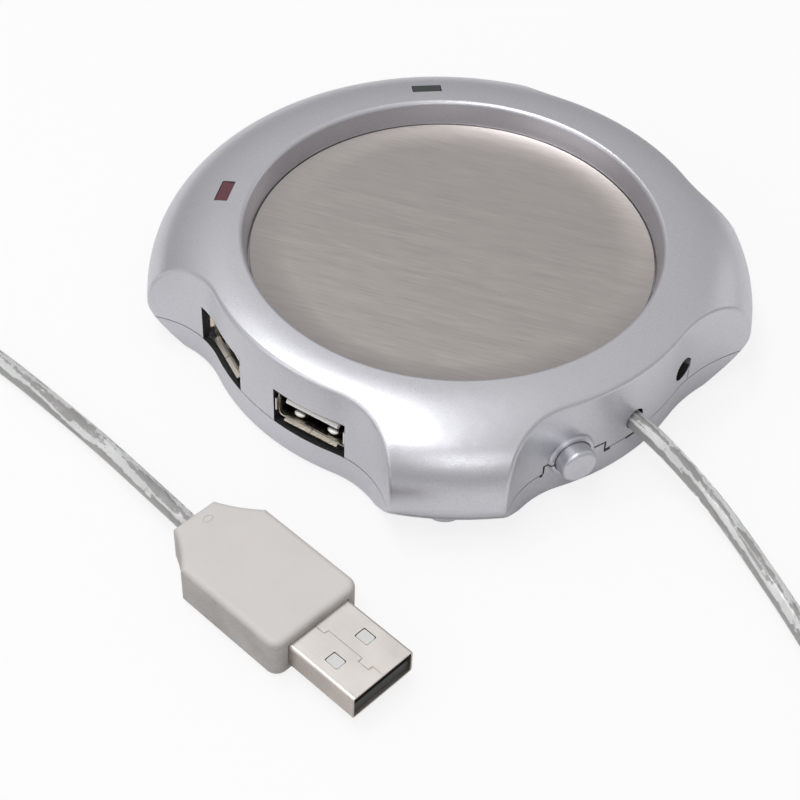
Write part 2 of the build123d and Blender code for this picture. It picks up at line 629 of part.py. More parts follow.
def socket_shell():
    """The folded sheet-metal can: mouth at x = 0, floor at z = 0."""
    can = block(-SOCKET_LENGTH, 0, SOCKET_WIDTH, 0, SOCKET_HEIGHT)
    can = fillet(can.edges().filter_by(Axis.X), SOCKET_CORNER)
    hollow = block(-SOCKET_LENGTH + SHEET, 1, SOCKET_WIDTH - 2 * SHEET, SHEET, SOCKET_HEIGHT - SHEET)
    can -= fillet(hollow.edges().filter_by(Axis.X), SOCKET_CORNER - SHEET)
    slot_back = -SPRING_SETBACK - SPRING_LENGTH - SPRING_SLOT_GAP
    slot = block(slot_back, -SPRING_SETBACK, SPRING_WIDTH + 2 * SPRING_SLOT_GAP, -SHEET, SHEET)
    for y in (-SPRING_OFFSET, SPRING_OFFSET):
        for dip, face in zip(SPRING_DIPS, (Pos(0, y, SOCKET_HEIGHT), Pos(0, y, 0) * Rot(180, 0, 0))):
            can -= face * slot
            can += face * Pos(slot_back - TOUCH, 0, 0) * spring_leaf(dip)
    side_lip = Pos(MOUTH_LIP_LENGTH / 2 - SHEET / 2, 0, 0) * Box(MOUTH_LIP_LENGTH, SHEET, SIDE_LIP_HEIGHT)
    for side in (-1, 1):
        place = Pos(-SHEET / 2, side * (SOCKET_WIDTH - SHEET) / 2, SOCKET_HEIGHT / 2)
        can += place * Rot(0, 0, side * SIDE_LIP_FLARE) * side_lip
    lip = Pos(MOUTH_LIP_LENGTH / 2 - SHEET / 2, 0, 0) * Box(MOUTH_LIP_LENGTH, TONGUE_WIDTH - 1.0, SHEET)
    can += Pos(-SHEET / 2, 0, SOCKET_HEIGHT - SHEET / 2) * Rot(0, -MOUTH_LIP_FLARE, 0) * lip
    can += Pos(-SHEET / 2, 0, SHEET / 2) * Rot(0, MOUTH_LIP_FLARE, 0) * lip
    return can - block(-SOCKET_LENGTH / 4, SHEET + MOUTH_LIP_LENGTH, FOLD_SEAM, -MOUTH_LIP_LENGTH, 2 * SHEET)


def socket_tongue():
    """The moulded insulator: a heel at the back and a blade under the roof."""
    gap = SHEET + TOUCH
    heel = block(-SOCKET_LENGTH + gap, socket_tongue_front, SOCKET_WIDTH - 2 * gap, gap, SOCKET_HEIGHT - gap)
    heel = fillet(heel.edges().filter_by(Axis.X), SOCKET_CORNER - SHEET)
    blade_top = SOCKET_HEIGHT - SHEET - TONGUE_DROP
    blade_floor = blade_top - TONGUE_THICKNESS
    blade = block(socket_tongue_front - 1, -TONGUE_SETBACK, TONGUE_WIDTH, blade_floor, blade_top)
    return heel + fillet(blade.faces().sort_by(Axis.X)[-1].edges(), 0.4)


def socket_contacts():
    top = SOCKET_HEIGHT - SHEET - TONGUE_DROP - TONGUE_THICKNESS
    strip = block(socket_tongue_front, -TONGUE_SETBACK - 1, CONTACT_WIDTH, top - CONTACT_THICKNESS, top)
    return each(strip, [Pos(0, y, 0) for y in CONTACT_OFFSETS])


def hub_controller_chip():
    length, width, height = CHIP_SIZE
    chip = block(-length / 2, length / 2, width, board_top_z, board_top_z + height)
    return Pos(*CHIP_PLACE) * chamfer(chip.faces().sort_by(Axis.Z)[-1].edges(), 0.3)


def crystal():
    length, width, height = CRYSTAL_SIZE
    can = Pos(*CRYSTAL_PLACE, board_top_z) * extrude(SlotOverall(length, width), height)
    return chamfer(can.faces().sort_by(Axis.Z)[-1].edges(), 0.3)


def capacitors():
    can = post(CAPACITOR_RADIUS, board_top_z, board_top_z + CAPACITOR_HEIGHT)
    can = chamfer(can.faces().sort_by(Axis.Z)[-1].edges(), 0.3)
    return each(can, [Pos(step * CAPACITOR_SPACING, CAPACITOR_ROW) for step in (-1, 0, 1)])


def dc_jack_body():
    """The power jack: a block with a round bore open towards the housing's hole."""
    top = board_top_z + JACK_HEIGHT
    body = block(jack_face - JACK_LENGTH, jack_face, JACK_WIDTH, board_top_z, top)
    body = fillet(body.edges().filter_by(Axis.X), 0.5)
    body -= rod(JACK_BORE_RADIUS, jack_face - JACK_BORE_DEPTH, lobe_radius, jack_z)
    return facing(JACK_AZIMUTH) * body


def dc_jack_pin():
    pin = rod(JACK_PIN_RADIUS, jack_face - JACK_BORE_DEPTH, jack_face - JACK_PIN_SETBACK, jack_z)
    return facing(JACK_AZIMUTH) * chamfer(pin.faces().sort_by(Axis.X)[-1].edges(), 0.3)


# ---- Push button and its switch -----------------------------------------------------
def push_button():
    """The round cap, with a flange behind the wall that keeps it in."""
    cap = rod(BUTTON_RADIUS, button_back, front_wall + BUTTON_PROTRUSION, button_z)
    cap = fillet(cap.faces().sort_by(Axis.X)[-1].edges(), BUTTON_FILLET)
    cap += rod(flange_radius, button_back, button_back + BUTTON_FLANGE_THICKNESS, button_z)
    return facing(BUTTON_AZIMUTH) * cap


def push_switch_body():
    body = block(switch_face - SWITCH_LENGTH, switch_face, SWITCH_WIDTH, switch_z, switch_z + SWITCH_HEIGHT)
    body = fillet(body.edges().filter_by(Axis.X), 0.5)
    depth = PLUNGER_BURIED + BUTTON_TRAVEL + BUTTON_FLANGE_GAP
    bore = PLUNGER_SIZE + 2 * FIT
    body -= block(switch_face - depth, button_back, bore, button_z - bore / 2, button_z + bore / 2)
    return facing(BUTTON_AZIMUTH) * body


def switch_plunger():
    half = PLUNGER_SIZE / 2
    plunger = block(switch_face - PLUNGER_BURIED, button_back, PLUNGER_SIZE, button_z - half, button_z + half)
    return facing(BUTTON_AZIMUTH) * plunger


# ---- Indicator lamps ----------------------------------------------------------------
def lamp(azimuth):
    """A rectangular lamp whose face stands just under the dome's surface."""
    body = Box(LAMP_DEPTH, LAMP_WIDTH, LAMP_HEIGHT, align=(Align.CENTER, Align.CENTER, Align.MAX))
    return facing(azimuth, lamp_circle_radius, lamp_top_z) * body


def lamp_legs():
    leg = post(LAMP_LEG_RADIUS, board_top_z, lamp_top_z - LAMP_HEIGHT)
    lamps = [facing(azimuth, lamp_circle_radius) for azimuth in LAMP_AZIMUTHS]
    return each(leg, [place * Pos(0, y, 0) for place in lamps for y in (-LAMP_LEG_OFFSET, LAMP_LEG_OFFSET)])


# ---- Cable --------------------------------------------------------------------------
def bend_radii(points):
    """For each inner point, the arc that its two runs allow."""
    radii = []
    for before, here, after in zip(points, points[1:], points[2:]):
        a, b = Vector(*here) - Vector(*before), Vector(*after) - Vector(*here)
        radii.append(0.45 * min(a.length, b.length) / tan(radians(a.get_angle(b) / 2)))
    return radii


def cable_tube(points):
    radii = bend_radii(points)
    route = FilletPolyline(*points, radius=radii)
    tube = sweep(Plane(route @ 0, z_dir=route % 0) * Circle(cable_radius), path=route)
    ratio = tube.volume / (pi * cable_radius**2 * route.length)
    print("cable: length %.1f, volume ratio %.4f" % (route.length, ratio))
    print("radii", [round(radius, 1) for radius in radii])
    return tube


def cable_coil():
    """The outer shape of the put-away turns."""
    bundle = RectangleRounded(coil_width, coil_height, cable_radius * 0.95)
    section = Plane.XZ * Pos(COIL_RADIUS, coil_z + coil_height / 2) * bundle
    return Pos(*COIL_CENTRE) * revolve(section, Axis.Z, 360)


def cable_tie():
    """The band that holds the coil's turns together."""
    width = coil_width + COIL_SLACK
    height = coil_height + COIL_SLACK
    inner = RectangleRounded(width, height, cable_radius)
    around = 2 * TIE_THICKNESS
    outer = RectangleRounded(width + around, height + around, cable_radius + TIE_THICKNESS)
    band = Rot(90, 0, 0) * extrude(outer - inner, TIE_WIDTH / 2, both=True)
    return Pos(*COIL_CENTRE) * facing(TIE_AZIMUTH, COIL_RADIUS, coil_z + coil_height / 2) * band


def cable_clamp():
    """The saddle on the board that holds the cable's jacket."""
    top = cable_z + cable_radius + CLAMP_ROOF
    saddle = block(clamp_outer_radius - CLAMP_LENGTH, clamp_outer_radius, CLAMP_WIDTH, board_top_z, top)
    saddle = fillet(saddle.edges().filter_by(Axis.X).group_by(Axis.Z)[-1], CLAMP_ROOF)
    return facing(CABLE_AZIMUTH) * (saddle - rod(cable_radius + FIT, 0, lobe_radius, cable_z))


def cable_conductors():
    """Four wires from the end of the jacket down to the board."""
    start = hypot(CABLE_OUT[0][0], CABLE_OUT[0][1]) - TOUCH
    turn = start - CONDUCTOR_REACH
    wires = []
    for y in CONDUCTOR_OFFSETS:
        spread = y * CONDUCTOR_SPREAD
        corner = (turn, spread, cable_z)
        route = FilletPolyline((start, y, cable_z), corner, (turn, spread, board_top_z), radius=0.8)
        wires.append(sweep(Plane(route @ 0, z_dir=route % 0) * Circle(CONDUCTOR_RADIUS), path=route))
    return facing(CABLE_AZIMUTH) * Compound(wires)


# ---- Plug ---------------------------------------------------------------------------
def plug_place():
    return Pos(PLUG_NECK[0], PLUG_NECK[1], 0) * Rot(0, 0, PLUG_AZIMUTH)


def plug_overmold():
    """The soft grip: a narrow neck, concave shoulders and a flat rectangular body."""
    half = OVERMOLD_WIDTH / 2
    neck = NECK_WIDTH / 2
    waist = (SHOULDER_LENGTH * 0.45, neck + (half - neck) * 0.36)
    outline = ThreePointArc((0, -neck), (waist[0], -waist[1]), (SHOULDER_LENGTH, -half))
    outline += Line((SHOULDER_LENGTH, -half), (OVERMOLD_LENGTH, -half))
    outline += Line((OVERMOLD_LENGTH, -half), (OVERMOLD_LENGTH, half))
    outline += Line((OVERMOLD_LENGTH, half), (SHOULDER_LENGTH, half))
    outline += ThreePointArc((SHOULDER_LENGTH, half), waist, (0, neck))
    outline += Line((0, neck), (0, -neck))
    body = extrude(make_face(outline), OVERMOLD_THICKNESS)
    corners = body.edges().filter_by(Axis.Z).sort_by(Axis.X)
    body = fillet(corners[-2:], OVERMOLD_CORNER)
    body = fillet(body.faces().filter_by(Axis.Z).edges(), OVERMOLD_FILLET)
    width = PLUG_SHELL_WIDTH + 2 * TOUCH
    body -= block(plug_shell_back, plug_tip, width, plug_shell_low - TOUCH, plug_shell_high + TOUCH)
    return plug_place() * body


def plug_seam():
    """The groove on the metal's top where the two edges of its sheet interlock."""
    low = plug_shell_high - SHEET / 2
    groove = []
    for (x, y), (next_x, next_y) in zip(PLUG_SEAM, PLUG_SEAM[1:] + ((PLUG_SHELL_EXPOSED + 1, 0.0),)):
        groove.append(Pos(OVERMOLD_LENGTH, y, 0) * block(x, next_x, PLUG_SEAM_WIDTH, low, OVERMOLD_THICKNESS))
        reach = abs(next_y - y) + PLUG_SEAM_WIDTH
        step = block(next_x, next_x + PLUG_SEAM_WIDTH, reach, low, OVERMOLD_THICKNESS)
        groove.append(Pos(OVERMOLD_LENGTH, (y + next_y) / 2, 0) * step)
    return groove


def plug_shell():
    """The plug's metal can, with two latch windows in each broad face and a folded seam on top."""
    can = block(plug_shell_back, plug_tip, PLUG_SHELL_WIDTH, plug_shell_low, plug_shell_high)
    can = fillet(can.edges().filter_by(Axis.X), 1.5 * SHEET)
    width = PLUG_SHELL_WIDTH - 2 * SHEET
    can -= block(plug_shell_back - 1, plug_tip + 1, width, plug_shell_low + SHEET, plug_shell_high - SHEET)
    window = Box(PLUG_WINDOW[0], PLUG_WINDOW[1], 2 * PLUG_SHELL_HEIGHT)
    window = fillet(window.edges().filter_by(Axis.Z), 0.25)
    for y in (-PLUG_WINDOW_OFFSET, PLUG_WINDOW_OFFSET):
        can -= Pos(plug_tip - PLUG_SHELL_EXPOSED / 2, y, plug_mid_z) * window
    for run in plug_seam():
        can -= run
    return plug_place() * can


def plug_insulator():
    """A solid block in the grip, with a thin blade that reaches to the plug's mouth."""
    back = plug_shell_back + TOUCH
    low = plug_shell_low + SHEET + TOUCH
    width = PLUG_SHELL_WIDTH - 2 * (SHEET + TOUCH)
    blade = block(back, plug_tip - PLUG_BLADE_SETBACK, width, low, plug_blade_top)
    return plug_place() * (blade + block(back, OVERMOLD_LENGTH, width, low, plug_shell_high - SHEET - TOUCH))


def plug_contacts():
    strips = []
    for y, setback in zip(CONTACT_OFFSETS, PLUG_CONTACT_SETBACKS):
        top = plug_blade_top + CONTACT_THICKNESS
        strip = block(OVERMOLD_LENGTH, plug_tip - setback, CONTACT_WIDTH, plug_blade_top, top)
        strips.append(Pos(0, y, 0) * strip)
    return plug_place() * Compound(strips)


# ---- Every piece under its own name -------------------------------------------------
shell = housing_shell()
pieces = {
    "upper_housing": upper_housing(shell),
    "lower_housing": lower_housing(shell),
    "housing_screws": housing_screws(),
    "rubber_feet": rubber_feet(),
    "heating_plate": heating_plate(),
    "heater_film": heater_film(),
    "insulation_pad": insulation_pad(),
    "heater_retainer": heater_retainer(),
    "retainer_screws": retainer_screws(),
    "thermal_cutoff": thermal_cutoff(),
    "heater_leads": heater_leads(),
    "hub_circuit_board": hub_circuit_board(),
    "board_screws": board_screws(),
    "hub_controller_chip": hub_controller_chip(),
    "crystal": crystal(),
    "capacitors": capacitors(),
    "dc_jack_body": dc_jack_body(),
    "dc_jack_pin": dc_jack_pin(),
    "push_button": push_button(),
    "switch_plunger": switch_plunger(),
    "push_switch_body": push_switch_body(),
    "power_lamp": lamp(LAMP_AZIMUTHS[0]),
    "heater_lamp": lamp(LAMP_AZIMUTHS[1]),
    "lamp_legs": lamp_legs(),
    "cable_clamp": cable_clamp(),
    "cable_conductors": cable_conductors(),
    "cable_out": cable_tube(CABLE_OUT),
    "cable_coil": cable_coil(),
    "cable_tie": cable_tie(),
    "cable_back": cable_tube(CABLE_BACK),
    "plug_overmold": plug_overmold(),
    "plug_shell": plug_shell(),
    "plug_insulator": plug_insulator(),
    "plug_contacts": plug_contacts(),
}
for number, (azimuth, mouth) in enumerate(sockets, start=1):
    place = facing(azimuth, mouth, board_top_z)
    pieces[f"usb_socket_shell_{number}"] = place * socket_shell()
    pieces[f"usb_socket_tongue_{number}"] = place * socket_tongue()
    pieces[f"usb_socket_contacts_{number}"] = place * socket_contacts()

os.makedirs("parts", exist_ok=True)
for name, piece in pieces.items():
    export_step(piece, f"parts/{name}.step")
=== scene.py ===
"""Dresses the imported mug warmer: finishes, cable, details, light and camera."""
import math

import bmesh
import bpy
from bpy.props import FloatProperty, FloatVectorProperty, PointerProperty
from mathutils import Matrix, Vector


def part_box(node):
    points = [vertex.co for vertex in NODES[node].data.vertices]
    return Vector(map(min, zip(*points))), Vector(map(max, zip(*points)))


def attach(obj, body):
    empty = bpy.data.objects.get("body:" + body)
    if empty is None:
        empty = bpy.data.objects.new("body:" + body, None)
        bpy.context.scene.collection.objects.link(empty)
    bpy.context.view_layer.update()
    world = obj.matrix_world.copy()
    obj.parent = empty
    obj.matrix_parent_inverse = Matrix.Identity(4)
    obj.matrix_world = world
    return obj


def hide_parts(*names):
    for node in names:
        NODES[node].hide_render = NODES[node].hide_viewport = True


bl_info = {
    "name": "Mug Warmer",
    "version": (1, 0, 0),
    "blender": (4, 5, 0),
    "location": "View3D > Sidebar > Mug Warmer",
    "description": "Finishes, cable and studio for the electric mug warmer",
    "category": "Object",
}

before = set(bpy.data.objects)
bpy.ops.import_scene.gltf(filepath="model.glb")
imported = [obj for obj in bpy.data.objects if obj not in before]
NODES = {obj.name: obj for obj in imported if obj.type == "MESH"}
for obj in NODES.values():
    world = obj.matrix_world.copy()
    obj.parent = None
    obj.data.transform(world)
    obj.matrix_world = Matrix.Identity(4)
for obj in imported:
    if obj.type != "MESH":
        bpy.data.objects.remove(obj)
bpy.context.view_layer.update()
MM = 0.001

# Where the cable runs, in millimetres: out of the wall and round in front to the coil,
# and from the coil to the plug's neck.
CABLE_OUT = (
    (24.2, -25.0, 8.7),
    (31.9, -33.1, 8.7),
    (41.4, -40.9, 2.8),
    (46.6, -50.0, 1.6),
    (54.4, -68.0, 1.6),
    (60.5, -86.0, 1.6),
    (56.0, -105.5, 1.6),
    (38.0, -116.5, 1.6),
    (11.0, -117.0, 1.6),
    (-22.0, -111.0, 1.6),
    (-60.0, -112.0, 1.6),
    (-90.0, -101.5, 1.9),
)
CABLE_BACK = (
    (-132.7, -52.0, 4.0),
    (-130.5, -29.0, 1.6),
    (-118.5, -8.5, 1.6),
    (-96.5, -1.0, 1.6),
    (-76.4, -15.3, 1.6),
    (-56.2, -33.6, 1.6),
    (-46.5, -44.3, 3.1),
    (-37.8, -53.6, 3.9),
)
COIL_CENTRE = (-111.3, -74.9)
COIL_START = (21.6, -81.3, 2.35)  # radius, azimuth, height of the first turn
COIL_INNER_RADIUS = 14.8
COIL_PITCH = 3.2
COIL_SWEEP = 1543.5  # degrees wound, clockwise from above
COIL_OUTWARD_TURNS = 1.9  # of the upper layer, wound from the inside out
PLUG_NECK = CABLE_BACK[-1][:2]
PLUG_AZIMUTH = -42.3

# The sockets' mouths: azimuth and distance from the middle, in degrees and millimetres.
MOUTHS = ((-152.37, 40.5), (-121.63, 40.5), (31.63, 43.1), (62.37, 43.1))
SOCKET_FLOOR = 6.7
SOCKET_REACH = 7.5  # half a shell's width, and a little more
# Where the shell darkens behind a mouth is painted shade inside the socket.
MOUTH_PAINTED_SHADE = (0.4, 1.4)  # behind a mouth, where the shell begins to darken and where it is dark
JACK_AZIMUTH = -27.6
JACK_HEIGHT = 9.4
JACK_BARREL = ((1.75, 40.15), (2.05, 40.15), (2.05, 42.1), (1.95, 42.2), (1.75, 42.2))  # radius, distance

# What is cut through the walls, each a hair larger than the cut, whose own faces then lie within it.
PORT_MIDDLE_HEIGHT = 8.9
PORT_HALF_SIZE = (6.88, 3.65)
# Azimuth, height and radius of the jack's hole and of the cable's.
ROUND_HOLES = ((JACK_AZIMUTH, JACK_HEIGHT, 2.13), (-46.0, 8.7, 1.88))
BARE_FROM = 30.0  # how far from the middle the dark faces begin
# The cut faces' unlacquered plastic is set near black: partly its own dark colour, partly painted shade in
# the gaps.
BARE_PLASTIC_SHADE = (0.012, 0.012, 0.013)
BARE_ROUGHNESS = 0.7
LACQUER_METALLIC = 0.9

# The plate's pressed edge, in metres from the middle, and how much the bump lifts it.
DISH_RADII = (0.0275, 0.034)
DISH_LIFT = 0.0011

# The plug, in millimetres along it from its neck and across it.
GRIP_LENGTH = 27.0
PLUG_METAL_LENGTH = 13.0
WINDOW_OFFSET = 3.0
WINDOW_HALF_SIZE = (1.14, 0.92)
WINDOW_CORNER = 0.3
PAD_DEPTH = 0.08  # of the pads' tops below the metal's face
PAD_THICKNESS = 0.5
OVAL_MIDDLE = (2.4, 0.73)
OVAL_RADII = (0.55, 0.85)
OVAL_SECTION = (0.11, 0.08)  # half the width and the height of the raised line

# Soft boxes: place and size in metres, and share of the key power.
SOFT_BOXES = {
    "soft_box_overhead": ((-0.18, -0.01, 0.73), (0.75, 0.2), 0.8),
    "soft_box_left": ((-0.6, -0.35, 0.45), (0.7, 0.7), 0.35),
    "soft_box_right": ((0.62, 0.4, 0.22), (0.35, 0.35), 0.05),
    "soft_box_front": ((0.1, -0.7, 0.6), (0.3, 0.3), 0.15),
}
LOW_WORLD = 0.62  # strength of the light near the horizon, as a share of that from above
WORLD_RISE = (0.1, 0.75)  # it grows between these, of 0 for level and 1 for straight up
FLOOR_HALF = 3.0
FLOOR_GREY = 0.79
FLOOR_GLOW = 0.82
CAMERA_PLACE = (-0.007597, -0.228599, 0.214282)
CAMERA_PITCH = 45.856  # degrees below the horizon
CAMERA_ROLL = 2.567


# ---- Settings -----------------------------------------------------------------------
class HousingSettings(bpy.types.PropertyGroup):
    """Silver lacquer on the housing and the button."""

    lacquer: FloatVectorProperty(
        name="Lacquer", description="Colour of the silver lacquer", subtype="COLOR",
        size=3, min=0.0, max=1.0, default=(0.618, 0.616, 0.657),
    )
    sheen_roughness: FloatProperty(
        name="Roughness", description="How matt the lacquer is", subtype="FACTOR",
        min=0.0, max=1.0, default=0.33,
    )
    flake_size: FloatProperty(
        name="Flake Size", description="Size of the metal flakes' clusters", unit="LENGTH",
        min=0.00005, max=0.002, default=0.00022,
    )


class PlateSettings(bpy.types.PropertyGroup):
    """Brushed hot plate."""

    metal: FloatVectorProperty(
        name="Metal", description="Colour of the brushed plate", subtype="COLOR",
        size=3, min=0.0, max=1.0, default=(0.52, 0.478, 0.46),
    )
    brush_angle: FloatProperty(
        name="Brush Angle", description="Direction of the brushing, from the X axis", subtype="ANGLE",
        default=math.radians(16.0),
    )
    line_width: FloatProperty(
        name="Line Width", description="Width of one brushing line", unit="LENGTH",
        min=0.00002, max=0.001, default=0.00022,
    )


class CableSettings(bpy.types.PropertyGroup):
    """Clear-jacketed cable."""

    diameter: FloatProperty(
        name="Diameter", description="Outside of the clear jacket", unit="LENGTH",
        min=0.002, max=0.008, default=0.0032,
    )
    shield_radius: FloatProperty(
        name="Shield Radius", description="Mean radius of the shield and its foil", unit="LENGTH",
        min=0.0003, max=0.0016, default=0.00105,
    )
    twist_pitch: FloatProperty(
        name="Twist Pitch", description="Length of one turn of the twisted cores", unit="LENGTH",
        min=0.005, max=0.2, default=0.08,
    )
    length: FloatProperty(
        name="Length", description="Stated length, from the wall to the plug; the route is fixed",
        unit="LENGTH", min=0.2, max=3.0, default=0.909,
    )


class PlugSettings(bpy.types.PropertyGroup):
    """Moulded grip of the plug."""

    grip: FloatVectorProperty(
        name="Grip", description="Colour of the moulded grip", subtype="COLOR",
        size=3, min=0.0, max=1.0, default=(0.58, 0.55, 0.53),
    )
    grain_size: FloatProperty(
        name="Grain Size", description="Size of the moulded grain", unit="LENGTH",
        min=0.00005, max=0.002, default=0.0003,
    )


class StageSettings(bpy.types.PropertyGroup):
    """Floor, lamps and camera."""

    world_level: FloatProperty(
        name="World Level", description="Strength of the light from all round",
        min=0.0, max=2.0, default=0.62,
    )
    key_power: FloatProperty(
        name="Key Power", description="Power that the soft boxes have shares of",
        unit="POWER", min=0.0, default=3.2,
    )
    lens: FloatProperty(
        name="Lens", description="Focal length of the camera",
        subtype="DISTANCE_CAMERA", min=20.0, default=81.0,
    )


# ---- Node helpers -------------------------------------------------------------------
def feed(tree, value, target):
    """Sets an input to a plain value, or links it to the socket that gives one."""
    if isinstance(value, bpy.types.NodeSocket):
        tree.links.new(value, target)
    else:
        target.default_value = value


def add_node(tree, kind, inputs=None, **settings):
    """A new node with its settings, and its inputs by name as plain values or sockets."""
    made = tree.nodes.new(kind)
    for name, value in settings.items():
        setattr(made, name, value)
    for name, value in (inputs or {}).items():
        feed(tree, value, made.inputs[name])
    return made


def math_node(tree, operation, first, second=0.0):
    """The result of a Math node; some operations take only the first value."""
    return add_node(tree, "ShaderNodeMath", {0: first, 1: second}, operation=operation).outputs[0]


def vector_math(tree, operation, first, second=(0.0, 0.0, 0.0), scale=1.0):
    """The vector that a Vector Math node makes; some operations take only the first value."""
    inputs = {0: first, 1: second, 3: scale}
    return add_node(tree, "ShaderNodeVectorMath", inputs, operation=operation).outputs[0]


def axes(tree, vector):
    """A vector's X, Y and Z, by name."""
    return add_node(tree, "ShaderNodeSeparateXYZ", {0: vector}).outputs


def combined(tree, **parts):
    """A vector of some of X, Y and Z; the others are 0."""
    return add_node(tree, "ShaderNodeCombineXYZ", parts).outputs[0]


def object_place(tree):
    """The shaded point, in its object's axes."""
    return add_node(tree, "ShaderNodeTexCoord").outputs["Object"]


def turned(tree, place, angle):
    """A place turned about the Z axis."""
    inputs = {"Vector": place, "Angle": angle}
    return add_node(tree, "ShaderNodeVectorRotate", inputs, rotation_type="Z_AXIS").outputs[0]


def stretched(tree, place, scale):
    """A place whose pattern is drawn out along the axes that have a small scale."""
    return add_node(tree, "ShaderNodeMapping", {"Vector": place, "Scale": scale}).outputs["Vector"]


def spread(tree, source, low, high, to_low, to_high):
    """Maps one range of a value to another, and clamps it."""
    inputs = {"Value": source, "From Min": low, "From Max": high, "To Min": to_low, "To Max": to_high}
    return add_node(tree, "ShaderNodeMapRange", inputs).outputs["Result"]


def noise(tree, place, scale, **inputs):
    """A noise's value at a place; the keywords name its other inputs."""
    return add_node(tree, "ShaderNodeTexNoise", {"Vector": place, "Scale": scale, **inputs}).outputs["Fac"]


def weighed(tree, first, share, second):
    """A mixture of two values, of which the first has a given share."""
    return math_node(tree, "ADD", math_node(tree, "MULTIPLY", first, share),
                     math_node(tree, "MULTIPLY", second, 1.0 - share))


def largest(tree, values):
    """The largest of some values."""
    found = values[0]
    for value in values[1:]:
        found = math_node(tree, "MAXIMUM", found, value)
    return found


def mixed_colour(tree, share, first, second):
    """One colour turned into another by a mask."""
    inputs = {"Factor": share, "A": first, "B": second}
    return add_node(tree, "ShaderNodeMix", inputs, data_type="RGBA").outputs["Result"]


# ---- Shared effects -----------------------------------------------------------------
def effect_group(name, inputs, outputs):
    """An empty shader group with named sockets, and its entry and exit nodes."""
    group = bpy.data.node_groups.new(name, "ShaderNodeTree")
    for label, kind, value in inputs:
        socket = group.interface.new_socket(name=label, in_out="INPUT", socket_type=kind)
        socket.default_value = value
    for label, kind in outputs:
        group.interface.new_socket(name=label, in_out="OUTPUT", socket_type=kind)
    return group, group.nodes.new("NodeGroupInput"), group.nodes.new("NodeGroupOutput")


def vary_colour(group, entry, leave, pattern, low, high, amount):
    """Puts out the group's colour, made darker and lighter by a pattern; an input says by how much."""
    dark = math_node(group, "SUBTRACT", 1.0, entry.outputs[amount])
    light = math_node(group, "ADD", 1.0, entry.outputs[amount])
    tone = spread(group, pattern, low, high, dark, light)
    feed(group, vector_math(group, "SCALE", entry.outputs["Colour"], scale=tone), leave.inputs["Colour"])


def metal_flake_group():
    """Lacquer with fine metal flakes: mottled colour, glints in the roughness, a soft orange peel."""
    group, entry, leave = effect_group(
        "Metal Flake",
        [("Colour", "NodeSocketColor", (0.6, 0.6, 0.63, 1.0)),
         ("Flakes per Metre", "NodeSocketFloat", 4500.0),
         ("Contrast", "NodeSocketFloat", 0.08), ("Roughness", "NodeSocketFloat", 0.36)],
        [("Colour", "NodeSocketColor"), ("Roughness", "NodeSocketFloat"), ("Height", "NodeSocketFloat")],
    )
    place = object_place(group)
    flakes = noise(group, place, entry.outputs["Flakes per Metre"], Detail=1.5, Roughness=0.7)
    vary_colour(group, entry, leave, flakes, 0.3, 0.7, "Contrast")
    peel = noise(group, place, 900.0, Detail=2.0)
    glint = spread(group, flakes, 0.3, 0.7, 0.05, -0.05)
    feed(group, math_node(group, "ADD", entry.outputs["Roughness"], glint), leave.inputs["Roughness"])
    both = math_node(group, "ADD", math_node(group, "MULTIPLY", flakes, 0.35), peel)
    feed(group, both, leave.inputs["Height"])
    return group


def handling_group():
    """Faint smudges from handling, as what they add to the roughness."""
    group, entry, leave = effect_group(
        "Handling Marks",
        [("Smudges per Metre", "NodeSocketFloat", 45.0), ("Amount", "NodeSocketFloat", 0.05)],
        [("Roughness Offset", "NodeSocketFloat")],
    )
    smudge = noise(group, object_place(group), entry.outputs["Smudges per Metre"],
                   Detail=6.0, Roughness=0.62, Distortion=0.4)
    below = math_node(group, "MULTIPLY", entry.outputs["Amount"], -1.0)
    offset = spread(group, smudge, 0.35, 0.65, below, entry.outputs["Amount"])
    feed(group, offset, leave.inputs["Roughness Offset"])
    return group


def moulded_grain_group():
    """Spark-eroded grain of a moulded plastic or rubber surface."""
    group, entry, leave = effect_group(
        "Moulded Grain",
        [("Colour", "NodeSocketColor", (0.5, 0.5, 0.5, 1.0)), ("Grains per Metre", "NodeSocketFloat", 3300.0),
         ("Mottle", "NodeSocketFloat", 0.04)],
        [("Colour", "NodeSocketColor"), ("Height", "NodeSocketFloat"), ("Mask", "NodeSocketFloat")],
    )
    place = object_place(group)
    grain = noise(group, place, entry.outputs["Grains per Metre"], Detail=3.0, Roughness=0.6)
    mixed = weighed(group, grain, 0.5, noise(group, place, 160.0, Detail=4.0))
    vary_colour(group, entry, leave, mixed, 0.35, 0.65, "Mottle")
    feed(group, grain, leave.inputs["Height"])
    feed(group, mixed, leave.inputs["Mask"])
    return group


def brushed_group():
    """Brushed metal: long fine lines at an angle in the XY plane."""
    group, entry, leave = effect_group(
        "Brushed Lines",
        [("Colour", "NodeSocketColor", (0.6, 0.6, 0.6, 1.0)), ("Lines per Metre", "NodeSocketFloat", 4500.0),
         ("Angle", "NodeSocketFloat", 0.0), ("Contrast", "NodeSocketFloat", 0.1)],
        [("Colour", "NodeSocketColor"), ("Height", "NodeSocketFloat")],
    )
    place = turned(group, object_place(group), entry.outputs["Angle"])
    drawn_out = vector_math(group, "MULTIPLY", place, (0.032, 1.0, 1.0))
    scale = entry.outputs["Lines per Metre"]
    fine = noise(group, drawn_out, scale, Detail=3.0, Roughness=0.7)
    broad = noise(group, drawn_out, math_node(group, "MULTIPLY", scale, 0.12), Detail=2.0, Roughness=0.5)
    lines = weighed(group, fine, 0.8, broad)
    vary_colour(group, entry, leave, lines, 0.3, 0.7, "Contrast")
    feed(group, lines, leave.inputs["Height"])
    return group


EFFECTS = {
    "Metal Flake": metal_flake_group,
    "Handling Marks": handling_group,
    "Moulded Grain": moulded_grain_group,
    "Brushed Lines": brushed_group,
}


